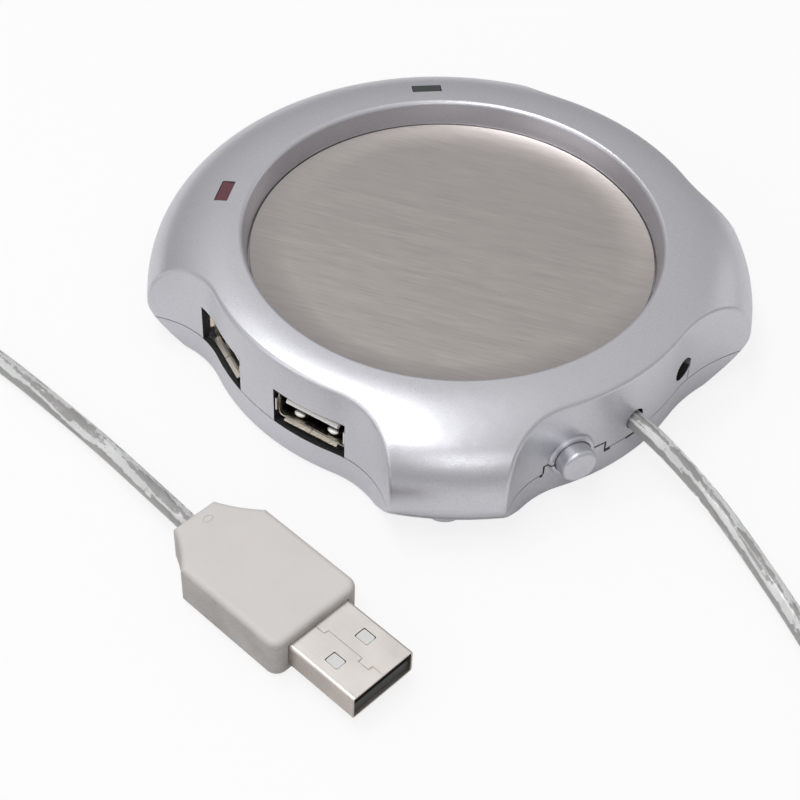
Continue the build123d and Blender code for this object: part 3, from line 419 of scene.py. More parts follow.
def effect(material, name, **values):
    """Places a shared effect in a material, with its own values."""
    group = bpy.data.node_groups.get(name) or EFFECTS[name]()
    inputs = {label.replace("_", " "): value for label, value in values.items()}
    return add_node(material.node_tree, "ShaderNodeGroup", inputs, node_tree=group)


# ---- Finishes -----------------------------------------------------------------------
def rgba(colour):
    return (colour[0], colour[1], colour[2], 1.0)


def new_material(name, **values):
    """A material with a Principled shader, its plain socket values set; the keywords are socket names."""
    material = bpy.data.materials.new(name)
    material.use_nodes = True
    shader = material.node_tree.nodes["Principled BSDF"]
    for label, value in values.items():
        shader.inputs[label.replace("_", " ")].default_value = value
    return material, shader


def add_bump(material, shader, height, strength, distance):
    inputs = {"Height": height, "Strength": strength, "Distance": distance}
    bump = add_node(material.node_tree, "ShaderNodeBump", inputs)
    feed(material.node_tree, bump.outputs["Normal"], shader.inputs["Normal"])


def upright_faces(tree, most, least):
    """A mask that is most on walls and least on level faces."""
    face = add_node(tree, "ShaderNodeNewGeometry")
    level = math_node(tree, "ABSOLUTE", axes(tree, face.outputs["True Normal"])["Z"])
    return spread(tree, level, 0.2, 0.9, most, least)


def turned_place(tree, azimuth):
    """X, Y and Z of the shaded point, with X turned to look along an azimuth in degrees."""
    return axes(tree, turned(tree, object_place(tree), math.radians(-azimuth)))


def through_wall(tree, place, reach):
    """A mask, 1 where a reach is under 1 and the point is out at the walls."""
    within = math_node(tree, "LESS_THAN", reach, 1.0)
    ahead = math_node(tree, "GREATER_THAN", place["X"], BARE_FROM * MM)
    return math_node(tree, "MULTIPLY", within, ahead)


def opening_share(tree, place, height, half_width, half_height):
    """How far across and up a point is from an opening's middle, as shares of half its size."""
    across = math_node(tree, "DIVIDE", place["Y"], half_width * MM)
    up = math_node(tree, "SUBTRACT", place["Z"], height * MM)
    return across, math_node(tree, "DIVIDE", up, half_height * MM)


def bare_shaded_openings(tree):
    """A mask, 1 on what the sockets' ports and the two round holes cut through the walls."""
    masks = []
    for azimuth, _ in MOUTHS:
        place = turned_place(tree, azimuth)
        across, up = opening_share(tree, place, PORT_MIDDLE_HEIGHT, *PORT_HALF_SIZE)
        reach = largest(tree, [math_node(tree, "ABSOLUTE", share) for share in (across, up)])
        masks.append(through_wall(tree, place, reach))
    for azimuth, height, radius in ROUND_HOLES:
        place = turned_place(tree, azimuth)
        across, up = opening_share(tree, place, height, radius, radius)
        reach = math_node(tree, "ADD", math_node(tree, "MULTIPLY", across, across),
                          math_node(tree, "MULTIPLY", up, up))
        masks.append(through_wall(tree, place, reach))
    return largest(tree, masks)


def lacquer_material(name, colour, roughness, flakes_per_metre):
    """Silver lacquer on moulded plastic; the faces cut through the walls are left unlacquered and set near
    black, partly their own dark colour and partly painted shade in the gaps.
    """
    material, shader = new_material(name)
    tree = material.node_tree
    flake = effect(material, "Metal Flake", Colour=rgba(colour), Flakes_per_Metre=flakes_per_metre,
                   Contrast=0.07, Roughness=roughness)
    marks = effect(material, "Handling Marks", Smudges_per_Metre=40.0, Amount=0.02)
    bare_shade = bare_shaded_openings(tree)
    # Painted shade: the cut faces of the ports and holes go near black.
    tone = mixed_colour(tree, bare_shade, flake.outputs["Colour"], rgba(BARE_PLASTIC_SHADE))
    feed(tree, tone, shader.inputs["Base Color"])
    feed(tree, spread(tree, bare_shade, 0.0, 1.0, LACQUER_METALLIC, 0.0), shader.inputs["Metallic"])
    rough = math_node(tree, "ADD", flake.outputs["Roughness"], marks.outputs["Roughness Offset"])
    bare_rough = math_node(tree, "MULTIPLY", bare_shade, BARE_ROUGHNESS)
    feed(tree, largest(tree, [rough, bare_rough]), shader.inputs["Roughness"])
    add_bump(material, shader, flake.outputs["Height"], 0.25, 0.00002)
    return material


def brushed_material(name, colour, angle, lines_per_metre, roughness):
    """Brushed or drawn metal."""
    material, shader = new_material(name, Metallic=1.0)
    tree = material.node_tree
    brush = effect(material, "Brushed Lines", Colour=rgba(colour), Lines_per_Metre=lines_per_metre,
                   Angle=angle)
    marks = effect(material, "Handling Marks", Smudges_per_Metre=30.0, Amount=0.015)
    feed(tree, brush.outputs["Colour"], shader.inputs["Base Color"])
    lined = spread(tree, brush.outputs["Height"], 0.3, 0.7, roughness - 0.06, roughness + 0.06)
    rough = math_node(tree, "ADD", lined, marks.outputs["Roughness Offset"])
    feed(tree, rough, shader.inputs["Roughness"])
    add_bump(material, shader, brush.outputs["Height"], 0.2, 0.00002)
    return material


def moulded_material(name, colour, roughness, grain=3300.0, mottle=0.04, bump=0.3):
    """Moulded plastic, rubber, felt or resin with a grain."""
    material, shader = new_material(name)
    tree = material.node_tree
    surface = effect(material, "Moulded Grain", Colour=rgba(colour), Grains_per_Metre=grain, Mottle=mottle)
    feed(tree, surface.outputs["Colour"], shader.inputs["Base Color"])
    rough = spread(tree, surface.outputs["Mask"], 0.3, 0.7, roughness - 0.06, roughness + 0.06)
    feed(tree, rough, shader.inputs["Roughness"])
    add_bump(material, shader, surface.outputs["Height"], bump, 0.00005)
    return material


def plated_material(name, colour, roughness):
    """Bright plated sheet metal with faint drawing lines and smudges."""
    material, shader = new_material(name, Metallic=1.0)
    tree = material.node_tree
    brush = effect(material, "Brushed Lines", Colour=rgba(colour), Lines_per_Metre=2600.0,
                   Angle=math.radians(-PLUG_AZIMUTH), Contrast=0.03)
    marks = effect(material, "Handling Marks", Smudges_per_Metre=120.0, Amount=0.06)
    feed(tree, brush.outputs["Colour"], shader.inputs["Base Color"])
    rough = math_node(tree, "ADD", marks.outputs["Roughness Offset"], roughness)
    feed(tree, rough, shader.inputs["Roughness"])
    add_bump(material, shader, brush.outputs["Height"], 0.12, 0.00002)
    return material


def painted_shade(material, share, colour):
    """Mixes a grainy colour into a material's base colour by a mask, as painted shade and painted reflection
    where the mask lies.
    """
    tree = material.node_tree
    base = tree.nodes["Principled BSDF"].inputs["Base Color"]
    unshaded = base.links[0].from_socket
    shade_tone = effect(material, "Moulded Grain", Colour=rgba(colour), Grains_per_Metre=5200.0, Mottle=0.25)
    feed(tree, mixed_colour(tree, share, unshaded, shade_tone.outputs["Colour"]), base)


def paint(names, material):
    """Gives CAD nodes a finish in place of the plain one."""
    for name in names:
        for slot in NODES[name].material_slots:
            slot.material = material


def matching(prefix):
    return [name for name in NODES if name.startswith(prefix)]


# ---- Mesh and curve helpers ---------------------------------------------------------
def place_object(name, data, material, body):
    """Adds a finished piece to the scene, on one of the CAD bodies."""
    piece = bpy.data.objects.new(name, data)
    bpy.context.scene.collection.objects.link(piece)
    piece.data.materials.clear()
    piece.data.materials.append(material)
    if body:
        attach(piece, body)
    return piece


def bearing(azimuth):
    """The unit step in the XY plane towards an azimuth in degrees."""
    return math.cos(math.radians(azimuth)), math.sin(math.radians(azimuth))


def lathed(name, outline, axis, start):
    """A closed ring turned about an axis, from (radius, distance along the axis) pairs in millimetres."""
    shape = bmesh.new()
    across = axis.orthogonal().normalized()
    corners = [shape.verts.new(start + (axis * along + across * radius) * MM) for radius, along in outline]
    edges = [shape.edges.new(pair) for pair in zip(corners, corners[1:] + corners[:1])]
    bmesh.ops.spin(shape, geom=corners + edges, cent=start, axis=axis, angle=2 * math.pi, steps=40)
    return finished(shape, name)


def finished(shape, name):
    """A mesh from a bmesh, with doubles merged and the faces pointing outwards."""
    bmesh.ops.remove_doubles(shape, verts=shape.verts, dist=0.001 * MM)
    bmesh.ops.recalc_face_normals(shape, faces=shape.faces)
    mesh = bpy.data.meshes.new(name)
    shape.to_mesh(mesh)
    shape.free()
    return mesh


def coil_points():
    """Control points of the coil: in along the table, up, and out again on top, clockwise."""
    start_radius, start_azimuth, low = COIL_START
    high = low + COIL_PITCH
    per_turn = 16
    bulge = 1 / math.cos(math.pi / per_turn)
    steps = round(COIL_SWEEP / 360 * per_turn)
    rise_start = (start_radius - COIL_INNER_RADIUS) / COIL_PITCH
    rise_end = COIL_SWEEP / 360 - COIL_OUTWARD_TURNS
    points = []
    for step in range(steps + 1):
        turns = COIL_SWEEP / 360 * step / steps
        if turns < rise_start:
            radius, height = start_radius - COIL_PITCH * turns, low
        elif turns < rise_end:
            share = (turns - rise_start) / (rise_end - rise_start)
            radius, height = COIL_INNER_RADIUS, low + (high - low) * share
        else:
            radius, height = COIL_INNER_RADIUS + COIL_PITCH * (turns - rise_end), high
        angle = math.radians(start_azimuth - 360 * turns)
        x = COIL_CENTRE[0] + radius * bulge * math.cos(angle)
        y = COIL_CENTRE[1] + radius * bulge * math.sin(angle)
        points.append((x, y, height))
    return points


def cable_curve(name, bevel_radius):
    """The cable's line as one NURBS spline, with a round bevel if the radius isn't 0."""
    points = list(CABLE_OUT) + coil_points() + list(CABLE_BACK)
    curve = bpy.data.curves.new(name, "CURVE")
    curve.dimensions = "3D"
    curve.resolution_u = 8
    curve.bevel_depth = bevel_radius
    curve.bevel_resolution = 5
    curve.use_fill_caps = bevel_radius > 0
    spline = curve.splines.new("NURBS")
    spline.points.add(len(points) - 1)
    for target, point in zip(spline.points, points):
        target.co = (point[0] * MM, point[1] * MM, point[2] * MM, 1.0)
    spline.order_u = 3
    spline.use_endpoint_u = True
    return curve


def baked_mesh(piece, name):
    """The piece's evaluated mesh as plain data."""
    graph = bpy.context.evaluated_depsgraph_get()
    mesh = bpy.data.meshes.new_from_object(piece.evaluated_get(graph))
    mesh.name = name
    return mesh


def cable_line(name):
    """A mesh of plain edges along the cable's NURBS line."""
    probe = bpy.data.objects.new(name, cable_curve(name, 0.0))
    bpy.context.scene.collection.objects.link(probe)
    mesh = baked_mesh(probe, name)
    curve = probe.data
    bpy.data.objects.remove(probe)
    bpy.data.curves.remove(curve)
    return mesh


def set_input(modifier, label, value):
    """Sets a Geometry Nodes input by its socket's identifier."""
    for item in modifier.node_group.interface.items_tree:
        if item.item_type == "SOCKET" and item.in_out == "INPUT" and item.name == label:
            modifier[item.identifier] = value
            return
    raise ValueError(f"no input called {label}")


def geometry_group(name, inputs):
    """A Geometry Nodes tree with a geometry input and output and the named inputs."""
    group = bpy.data.node_groups.new(name, "GeometryNodeTree")
    group.interface.new_socket(name="Geometry", in_out="INPUT", socket_type="NodeSocketGeometry")
    for label, kind, value in inputs:
        socket = group.interface.new_socket(name=label, in_out="INPUT", socket_type=kind)
        if value is not None:
            socket.default_value = value
    group.interface.new_socket(name="Geometry", in_out="OUTPUT", socket_type="NodeSocketGeometry")
    return group, group.nodes.new("NodeGroupInput"), group.nodes.new("NodeGroupOutput")


def run_node(group, kind, socket, geometry, inputs=None, **settings):
    """Runs a geometry through a node, by the socket's name, and returns what comes out."""
    return add_node(group, kind, {socket: geometry, **(inputs or {})}, **settings).outputs[0]


def end_tree(group, entry, leave, geometry):
    """Realize Instances and Set Material, as every tree here ends."""
    real = run_node(group, "GeometryNodeRealizeInstances", "Geometry", geometry)
    material = {"Material": entry.outputs["Material"]}
    dressed = run_node(group, "GeometryNodeSetMaterial", "Geometry", real, material)
    feed(group, dressed, leave.inputs["Geometry"])


def run_tree(group, mesh, name, values):
    """Runs a tree on a mesh and returns the result as a plain mesh."""
    carrier = bpy.data.objects.new(name, mesh)
    bpy.context.scene.collection.objects.link(carrier)
    modifier = carrier.modifiers.new(group.name, "NODES")
    modifier.node_group = group
    for label, value in values.items():
        set_input(modifier, label, value)
    result = baked_mesh(carrier, name)
    carrier.modifiers.remove(modifier)
    bpy.data.objects.remove(carrier)
    return result


def captured(group, geometry, kind, label, value):
    """A geometry that carries a value with its points, and the value as it is carried."""
    made = add_node(group, "GeometryNodeCaptureAttribute", domain="POINT")
    made.capture_items.new(kind, label)
    feed(group, geometry, made.inputs["Geometry"])
    feed(group, value, made.inputs[label])
    return made.outputs["Geometry"], made.outputs[label]


def shield_tree():
    """The shield: a ribbed, slightly flattened section swept along the line and twisted with the cores."""
    group, entry, leave = geometry_group(
        "Cable Shield",
        [("Radius", "NodeSocketFloat", 0.0014), ("Twist Pitch", "NodeSocketFloat", 0.03),
         ("Lobe Depth", "NodeSocketFloat", 0.16), ("Sides", "NodeSocketInt", 20),
         ("Material", "NodeSocketMaterial", None)],
    )
    line = run_node(group, "GeometryNodeMeshToCurve", "Mesh", entry.outputs["Geometry"])
    line = run_node(group, "GeometryNodeResampleCurve", "Curve", line, {"Length": 0.0006}, mode="LENGTH")
    crumple = add_node(group, "ShaderNodeTexNoise", {"Scale": 1100.0, "Detail": 2.0}).outputs["Fac"]
    radius = {"Radius": spread(group, crumple, 0.3, 0.7, 0.82, 1.2)}
    line = run_node(group, "GeometryNodeSetCurveRadius", "Curve", line, radius)
    line = run_node(group, "GeometryNodeSetCurveNormal", "Curve", line, mode="Z_UP")
    length = add_node(group, "GeometryNodeSplineParameter").outputs["Length"]
    turns = math_node(group, "DIVIDE", length, entry.outputs["Twist Pitch"])
    tilt = {"Tilt": math_node(group, "MULTIPLY", turns, 2 * math.pi)}
    line = run_node(group, "GeometryNodeSetCurveTilt", "Curve", line, tilt)
    line, along = captured(group, line, "FLOAT", "Along", length)
    size = {"Resolution": entry.outputs["Sides"], "Radius": entry.outputs["Radius"]}
    ring = add_node(group, "GeometryNodeCurvePrimitiveCircle", size, mode="RADIUS").outputs["Curve"]
    factor = add_node(group, "GeometryNodeSplineParameter").outputs["Factor"]
    angle = math_node(group, "MULTIPLY", factor, 2 * math.pi)
    lobes = math_node(group, "COSINE", math_node(group, "MULTIPLY", angle, 2.0))
    ribs = math_node(group, "COSINE", math_node(group, "MULTIPLY", angle, 5.0))
    wave = weighed(group, lobes, 0.6, ribs)
    swell = math_node(group, "ADD", math_node(group, "MULTIPLY", wave, entry.outputs["Lobe Depth"]), 1.0)
    where = add_node(group, "GeometryNodeInputPosition").outputs["Position"]
    swollen = {"Position": vector_math(group, "SCALE", where, scale=swell)}
    ring = run_node(group, "GeometryNodeSetPosition", "Geometry", ring, swollen)
    spot = add_node(group, "GeometryNodeInputPosition").outputs["Position"]
    ring, around = captured(group, ring, "VECTOR", "Around", spot)
    width = add_node(group, "GeometryNodeInputRadius").outputs["Radius"]
    section = {"Profile Curve": ring, "Scale": width, "Fill Caps": True}
    tube = run_node(group, "GeometryNodeCurveToMesh", "Curve", line, section)
    lay = {"Name": "lay", "Value": vector_math(group, "ADD", around, combined(group, Z=along))}
    tube = run_node(group, "GeometryNodeStoreNamedAttribute", "Geometry", tube, lay,
                    data_type="FLOAT_VECTOR", domain="POINT")
    end_tree(group, entry, leave, run_node(group, "GeometryNodeSetShadeSmooth", "Geometry", tube))
    return group


def mouth_points():
    """One point in the middle of each socket's floor, at its mouth."""
    mesh = bpy.data.meshes.new("mouth_points")
    places = []
    for azimuth, distance in MOUTHS:
        x, y = bearing(azimuth)
        places.append((distance * x * MM, distance * y * MM, SOCKET_FLOOR * MM))
    mesh.from_pydata(places, [], [])
    return mesh


def at_mouths(group, entry, shape):
    """Instances of a shape at every mouth; its own +X points out of the socket."""
    where = add_node(group, "GeometryNodeInputPosition")
    place = axes(group, where.outputs["Position"])
    turn = combined(group, Z=math_node(group, "ARCTAN2", place["Y"], place["X"]))
    return run_node(group, "GeometryNodeInstanceOnPoints", "Points", entry.outputs["Geometry"],
                    {"Instance": shape, "Rotation": turn})


def socket_spot(group, entry, across):
    """A place in a socket, set back from its mouth and up from its floor, at a value across it."""
    back = math_node(group, "MULTIPLY", entry.outputs["Setback"], -1.0)
    return combined(group, X=back, Y=across, Z=entry.outputs["Rise"])


def spring_tip_tree():
    """The rounded, raised ends of the two springs in each socket's floor."""
    group, entry, leave = geometry_group(
        "Spring Tips",
        [("Width", "NodeSocketFloat", 2.1 * MM), ("Length", "NodeSocketFloat", 1.3 * MM),
         ("Thickness", "NodeSocketFloat", 0.55 * MM), ("Offset", "NodeSocketFloat", 3.2 * MM),
         ("Setback", "NodeSocketFloat", 1.25 * MM), ("Rise", "NodeSocketFloat", 0.75 * MM),
         ("Material", "NodeSocketMaterial", None)],
    )
    ball = add_node(group, "GeometryNodeMeshUVSphere", {"Segments": 20, "Rings": 10, "Radius": 0.5})
    size = combined(group, X=entry.outputs["Length"], Y=entry.outputs["Width"], Z=entry.outputs["Thickness"])
    both = add_node(group, "GeometryNodeJoinGeometry")
    for side in (-1.0, 1.0):
        spot = socket_spot(group, entry, math_node(group, "MULTIPLY", entry.outputs["Offset"], side))
        shape = {"Translation": spot, "Rotation": (0.0, math.radians(25.0), 0.0), "Scale": size}
        tip = run_node(group, "GeometryNodeTransform", "Geometry", ball.outputs["Mesh"], shape)
        feed(group, tip, both.inputs["Geometry"])
    smooth = run_node(group, "GeometryNodeSetShadeSmooth", "Geometry", both.outputs["Geometry"])
    end_tree(group, entry, leave, at_mouths(group, entry, smooth))
    return group


def tongue_nose_tree():
    """The rounded nose on the front edge of each socket's tongue, made pale as a painted highlight."""
    group, entry, leave = geometry_group(
        "Tongue Noses",
        [("Width", "NodeSocketFloat", 9.8 * MM), ("Depth", "NodeSocketFloat", 1.0 * MM),
         ("Height", "NodeSocketFloat", 0.95 * MM), ("Setback", "NodeSocketFloat", 0.3 * MM),
         ("Rise", "NodeSocketFloat", 3.45 * MM), ("Material", "NodeSocketMaterial", None)],
    )
    half = math_node(group, "MULTIPLY", entry.outputs["Width"], 0.5)
    start, end = (socket_spot(group, entry, math_node(group, "MULTIPLY", half, side)) for side in (-1.0, 1.0))
    line = add_node(group, "GeometryNodeCurvePrimitiveLine", {"Start": start, "End": end}).outputs["Curve"]
    line = run_node(group, "GeometryNodeSetCurveNormal", "Curve", line, mode="Z_UP")
    round_size = {"Resolution": 24, "Radius": 0.5}
    ring = add_node(group, "GeometryNodeCurvePrimitiveCircle", round_size, mode="RADIUS").outputs["Curve"]
    size = combined(group, X=entry.outputs["Depth"], Y=entry.outputs["Height"], Z=1.0)
    oval = run_node(group, "GeometryNodeTransform", "Geometry", ring, {"Scale": size})
    section = {"Profile Curve": oval, "Fill Caps": True}
    bar = run_node(group, "GeometryNodeCurveToMesh", "Curve", line, section)
    end_tree(group, entry, leave, at_mouths(group, entry, bar))
    return group


def shield_material():
    """Tinned strands under foil, with a bright ragged stripe kept on the upward-facing side by the normal: a
    painted highlight wandering along grey strands.
    """
    material, shader = new_material("tinned_shield", Metallic=0.15)
    tree = material.node_tree
    lay = add_node(tree, "ShaderNodeAttribute", attribute_name="lay").outputs["Vector"]
    strands = noise(tree, stretched(tree, lay, (1.0, 1.0, 0.25)), 2600.0, Detail=2.0, Roughness=0.6)
    crinkle = noise(tree, lay, 900.0, Detail=3.0, Roughness=0.6)
    ragged = weighed(tree, strands, 0.6, crinkle)
    wander = noise(tree, stretched(tree, lay, (0.02, 0.02, 1.0)), 75.0, Detail=1.0)
    # Painted highlight: the light stripe sits where the normal points partly upwards.
    face = add_node(tree, "ShaderNodeNewGeometry")
    height = axes(tree, face.outputs["Normal"])["Z"]
    middle = spread(tree, wander, 0.3, 0.7, 0.5, 0.82)
    away = math_node(tree, "ABSOLUTE", math_node(tree, "SUBTRACT", height, middle))
    reach = spread(tree, ragged, 0.35, 0.65, 0.14, 0.36)
    painted_highlight = spread(tree, math_node(tree, "SUBTRACT", reach, away), -0.02, 0.05, 0.0, 1.0)
    ramp = add_node(tree, "ShaderNodeValToRGB", {"Fac": painted_highlight})
    ramp.color_ramp.elements[0].color = (0.49, 0.48, 0.475, 1.0)
    ramp.color_ramp.elements[1].color = (0.98, 0.98, 0.98, 1.0)
    feed(tree, ramp.outputs["Color"], shader.inputs["Base Color"])
    feed(tree, spread(tree, ragged, 0.3, 0.7, 0.5, 0.3), shader.inputs["Roughness"])
    add_bump(material, shader, ragged, 0.6, 0.0002)
    return material


def clear_jacket_material():
    """Clear soft jacket."""
    material, shader = new_material("clear_jacket", Transmission_Weight=1.0, IOR=1.45)
    shader.inputs["Base Color"].default_value = (0.97, 0.97, 0.975, 1.0)
    tree = material.node_tree
    marks = effect(material, "Handling Marks", Smudges_per_Metre=160.0, Amount=0.03)
    feed(tree, math_node(tree, "ADD", marks.outputs["Roughness Offset"], 0.07), shader.inputs["Roughness"])
    return material


# ---- Operators ----------------------------------------------------------------------
class MUGWARMER_OT_stage(bpy.types.Operator):
    """Floor, lamps, even world light and the camera"""

    bl_idname = "mug_warmer.stage"
    bl_label = "Stage"

    def execute(self, context):
        settings = context.scene.mug_stage
        scene = context.scene
        scene.view_settings.view_transform = "Standard"
        self.make_floor()
        self.make_world(scene, settings)
        for name, (place, size, share) in SOFT_BOXES.items():
            self.make_lamp(name, place, size, settings.key_power * share)
        self.make_camera(scene, settings)
        return {"FINISHED"}

    def make_floor(self):
        mesh = bpy.data.meshes.new("floor")
        half = FLOOR_HALF
        corners = [(-half, -half, 0.0), (half, -half, 0.0), (half, half, 0.0), (-half, half, 0.0)]
        mesh.from_pydata(corners, [], [(0, 1, 2, 3)])
        material, shader = new_material("pale_floor", Roughness=0.8)
        shader.inputs["Base Color"].default_value = rgba([FLOOR_GREY] * 3)
        tree = material.node_tree
        rays = add_node(tree, "ShaderNodeLightPath")
        seen = largest(tree, [rays.outputs["Is Camera Ray"], rays.outputs["Is Transmission Ray"]])
        glow = add_node(tree, "ShaderNodeEmission", {"Color": (1.0, 1.0, 1.0, 1.0), "Strength": 1.0})
        mix = add_node(tree, "ShaderNodeMixShader", {
            "Fac": math_node(tree, "MULTIPLY", seen, FLOOR_GLOW),
            1: shader.outputs["BSDF"],
            2: glow.outputs["Emission"],
        })
        feed(tree, mix.outputs["Shader"], tree.nodes["Material Output"].inputs["Surface"])
        floor = place_object("floor", mesh, material, None)

    def make_world(self, scene, settings):
        world = bpy.data.worlds.new("studio")
        world.use_nodes = True
        tree = world.node_tree
        backdrop = tree.nodes["Background"]
        backdrop.inputs["Color"].default_value = (1.0, 1.0, 1.0, 1.0)
        rays = add_node(tree, "ShaderNodeLightPath")
        way = axes(tree, add_node(tree, "ShaderNodeTexCoord").outputs["Generated"])
        above = settings.world_level
        upward = spread(tree, way["Z"], *WORLD_RISE, above * LOW_WORLD, above)
        level = spread(tree, rays.outputs["Is Camera Ray"], 0.0, 1.0, upward, 1.0)
        feed(tree, level, backdrop.inputs["Strength"])
        scene.world = world

    def make_lamp(self, name, place, size, power):
        """A soft box that faces the origin."""
        lamp = bpy.data.lights.new(name, "AREA")
        lamp.shape = "RECTANGLE"
        lamp.size, lamp.size_y = size
        lamp.energy = power
        holder = bpy.data.objects.new(name, lamp)
        holder.location = place
        holder.rotation_euler = (-Vector(place)).to_track_quat("-Z", "Y").to_euler()
        bpy.context.scene.collection.objects.link(holder)

    def make_camera(self, scene, settings):
        data = bpy.data.cameras.new("camera")
        data.sensor_width = 36.0
        data.lens = settings.lens
        data.clip_start = 0.01
        camera = bpy.data.objects.new("camera", data)
        place = Matrix.Translation(CAMERA_PLACE)
        pitch = Matrix.Rotation(math.radians(90.0 - CAMERA_PITCH), 4, "X")
        roll = Matrix.Rotation(math.radians(CAMERA_ROLL), 4, "Z")
        camera.matrix_world = place @ pitch @ roll
        scene.collection.objects.link(camera)
        scene.camera = camera


class MUGWARMER_OT_housing(bpy.types.Operator):
    """Silver lacquer on both halves of the housing"""

    bl_idname = "mug_warmer.housing"
    bl_label = "Housing"

    def execute(self, context):
        settings = context.scene.mug_housing
        lacquer = lacquer_material("silver_lacquer", settings.lacquer, settings.sheen_roughness,
                                   1.0 / settings.flake_size)
        paint(["upper_housing", "lower_housing"], lacquer)
        return {"FINISHED"}


class MUGWARMER_OT_button(bpy.types.Operator):
    """Lacquered push button and what it pushes"""

    bl_idname = "mug_warmer.button"
    bl_label = "Button"

    def execute(self, context):
        settings = context.scene.mug_housing
        lacquer = lacquer_material("button_lacquer", settings.lacquer, settings.sheen_roughness + 0.04,
                                   1.0 / settings.flake_size)
        paint(["push_button"], lacquer)
        paint(["switch_plunger"], moulded_material("plunger_plastic", (0.72, 0.72, 0.70), 0.45))
        paint(["push_switch_body"], moulded_material("switch_plastic", (0.03, 0.03, 0.032), 0.5))
        return {"FINISHED"}


class MUGWARMER_OT_hot_plate(bpy.types.Operator):
    """Brushed hot plate and the heater under it"""

    bl_idname = "mug_warmer.hot_plate"
    bl_label = "Hot Plate"

    def execute(self, context):
        settings = context.scene.mug_plate
        plate = brushed_material("brushed_plate", settings.metal, settings.brush_angle,
                                 1.0 / settings.line_width, 0.36)
        self.dish_edge(plate)
        paint(["heating_plate"], plate)
        paint(["heater_film"], moulded_material("heater_film", (0.33, 0.16, 0.05), 0.35, 800.0, 0.12, 0.1))
        paint(["insulation_pad"], moulded_material("felt_pad", (0.72, 0.70, 0.64), 0.95, 1800.0, 0.12, 0.9))
        paint(["heater_retainer"], brushed_material("retainer_steel", (0.55, 0.55, 0.55), 0.6, 2500.0, 0.4))
        paint(["thermal_cutoff"], moulded_material("cutoff_case", (0.05, 0.05, 0.055), 0.45))
        paint(["heater_leads"], moulded_material("lead_sleeve", (0.45, 0.03, 0.02), 0.4, 900.0))
        return {"FINISHED"}

    def dish_edge(self, material):
        """Shades the plate's outermost ring as if pressing had turned it up a little."""
        tree = material.node_tree
        flat = vector_math(tree, "MULTIPLY", object_place(tree), (1.0, 1.0, 0.0))
        radius = add_node(tree, "ShaderNodeVectorMath", {0: flat}, operation="LENGTH")
        share = spread(tree, radius.outputs["Value"], *DISH_RADII, 0.0, 1.0)
        height = math_node(tree, "MULTIPLY", math_node(tree, "POWER", share, 2.0), DISH_LIFT)
        dish = add_node(tree, "ShaderNodeBump", {"Height": height, "Strength": 1.0, "Distance": 1.0})
        brushing = tree.nodes["Bump"]
        feed(tree, dish.outputs["Normal"], brushing.inputs["Normal"])


class MUGWARMER_OT_electronics(bpy.types.Operator):
    """Circuit board and what stands on it"""

    bl_idname = "mug_warmer.electronics"
    bl_label = "Electronics"

    def execute(self, context):
        laminate = moulded_material("board_laminate", (0.006, 0.035, 0.015), 0.45, 700.0, 0.15, 0.2)
        paint(["hub_circuit_board"], laminate)
        paint(["hub_controller_chip"], moulded_material("chip_resin", (0.02, 0.02, 0.022), 0.55))
        paint(["crystal"], plated_material("crystal_can", (0.7, 0.7, 0.69), 0.28))
        paint(["capacitors"], moulded_material("capacitor_sleeve", (0.02, 0.03, 0.09), 0.3, 500.0))
        paint(["cable_clamp"], moulded_material("clamp_plastic", (0.35, 0.35, 0.36), 0.5))
        paint(["cable_conductors"], moulded_material("conductor_sleeve", (0.4, 0.03, 0.02), 0.4, 900.0))
        paint(["lamp_legs"], plated_material("lamp_leads", (0.6, 0.6, 0.6), 0.3))
        return {"FINISHED"}


class MUGWARMER_OT_sockets(bpy.types.Operator):
    """Four sockets: plated shells, dark tongues and gilt contacts"""

    bl_idname = "mug_warmer.sockets"
    bl_label = "Sockets"

    def execute(self, context):
        paint(matching("usb_socket_shell"), self.shell_metal())
        paint(matching("usb_socket_tongue"), moulded_material("tongue_plastic", (0.035, 0.033, 0.03), 0.45))
        paint(matching("usb_socket_contacts"), plated_material("gilt_contacts", (0.83, 0.62, 0.25), 0.25))
        bright = plated_material("spring_plating", (0.9, 0.89, 0.86), 0.4)
        tips = run_tree(spring_tip_tree(), mouth_points(), "socket_spring_tips", {"Material": bright})
        place_object("socket_spring_tips", tips, bright, "housing")
        # Painted highlight: the noses' pale colour stands in for light on the tongues' front edges.
        pale = moulded_material("tongue_nose", (0.88, 0.87, 0.86), 0.4)
        noses = run_tree(tongue_nose_tree(), mouth_points(), "socket_tongue_noses", {"Material": pale})
        place_object("socket_tongue_noses", noses, pale, "housing")
        return {"FINISHED"}

    def shell_metal(self):
        """Nickel plate, painted dark brown on the shell behind each mouth as painted shade inside the socket.
        """
        material = plated_material("socket_plating", (0.82, 0.76, 0.68), 0.26)
        tree = material.node_tree
        masks = []
        for azimuth, mouth in MOUTHS:
            place = turned_place(tree, azimuth)
            bright, dark = ((mouth - back) * MM for back in MOUTH_PAINTED_SHADE)
            shade_depth = spread(tree, place["X"], dark, bright, 1.0, 0.0)
            across = math_node(tree, "ABSOLUTE", place["Y"])
            near = math_node(tree, "LESS_THAN", across, SOCKET_REACH * MM)
            ahead = math_node(tree, "GREATER_THAN", place["X"], 0.0)
            masks.append(math_node(tree, "MULTIPLY", math_node(tree, "MULTIPLY", near, ahead), shade_depth))
        # Painted shade: the shell turns dark brown deeper inside each socket.
        painted_shade(material, largest(tree, masks), (0.07, 0.05, 0.035))
        return material


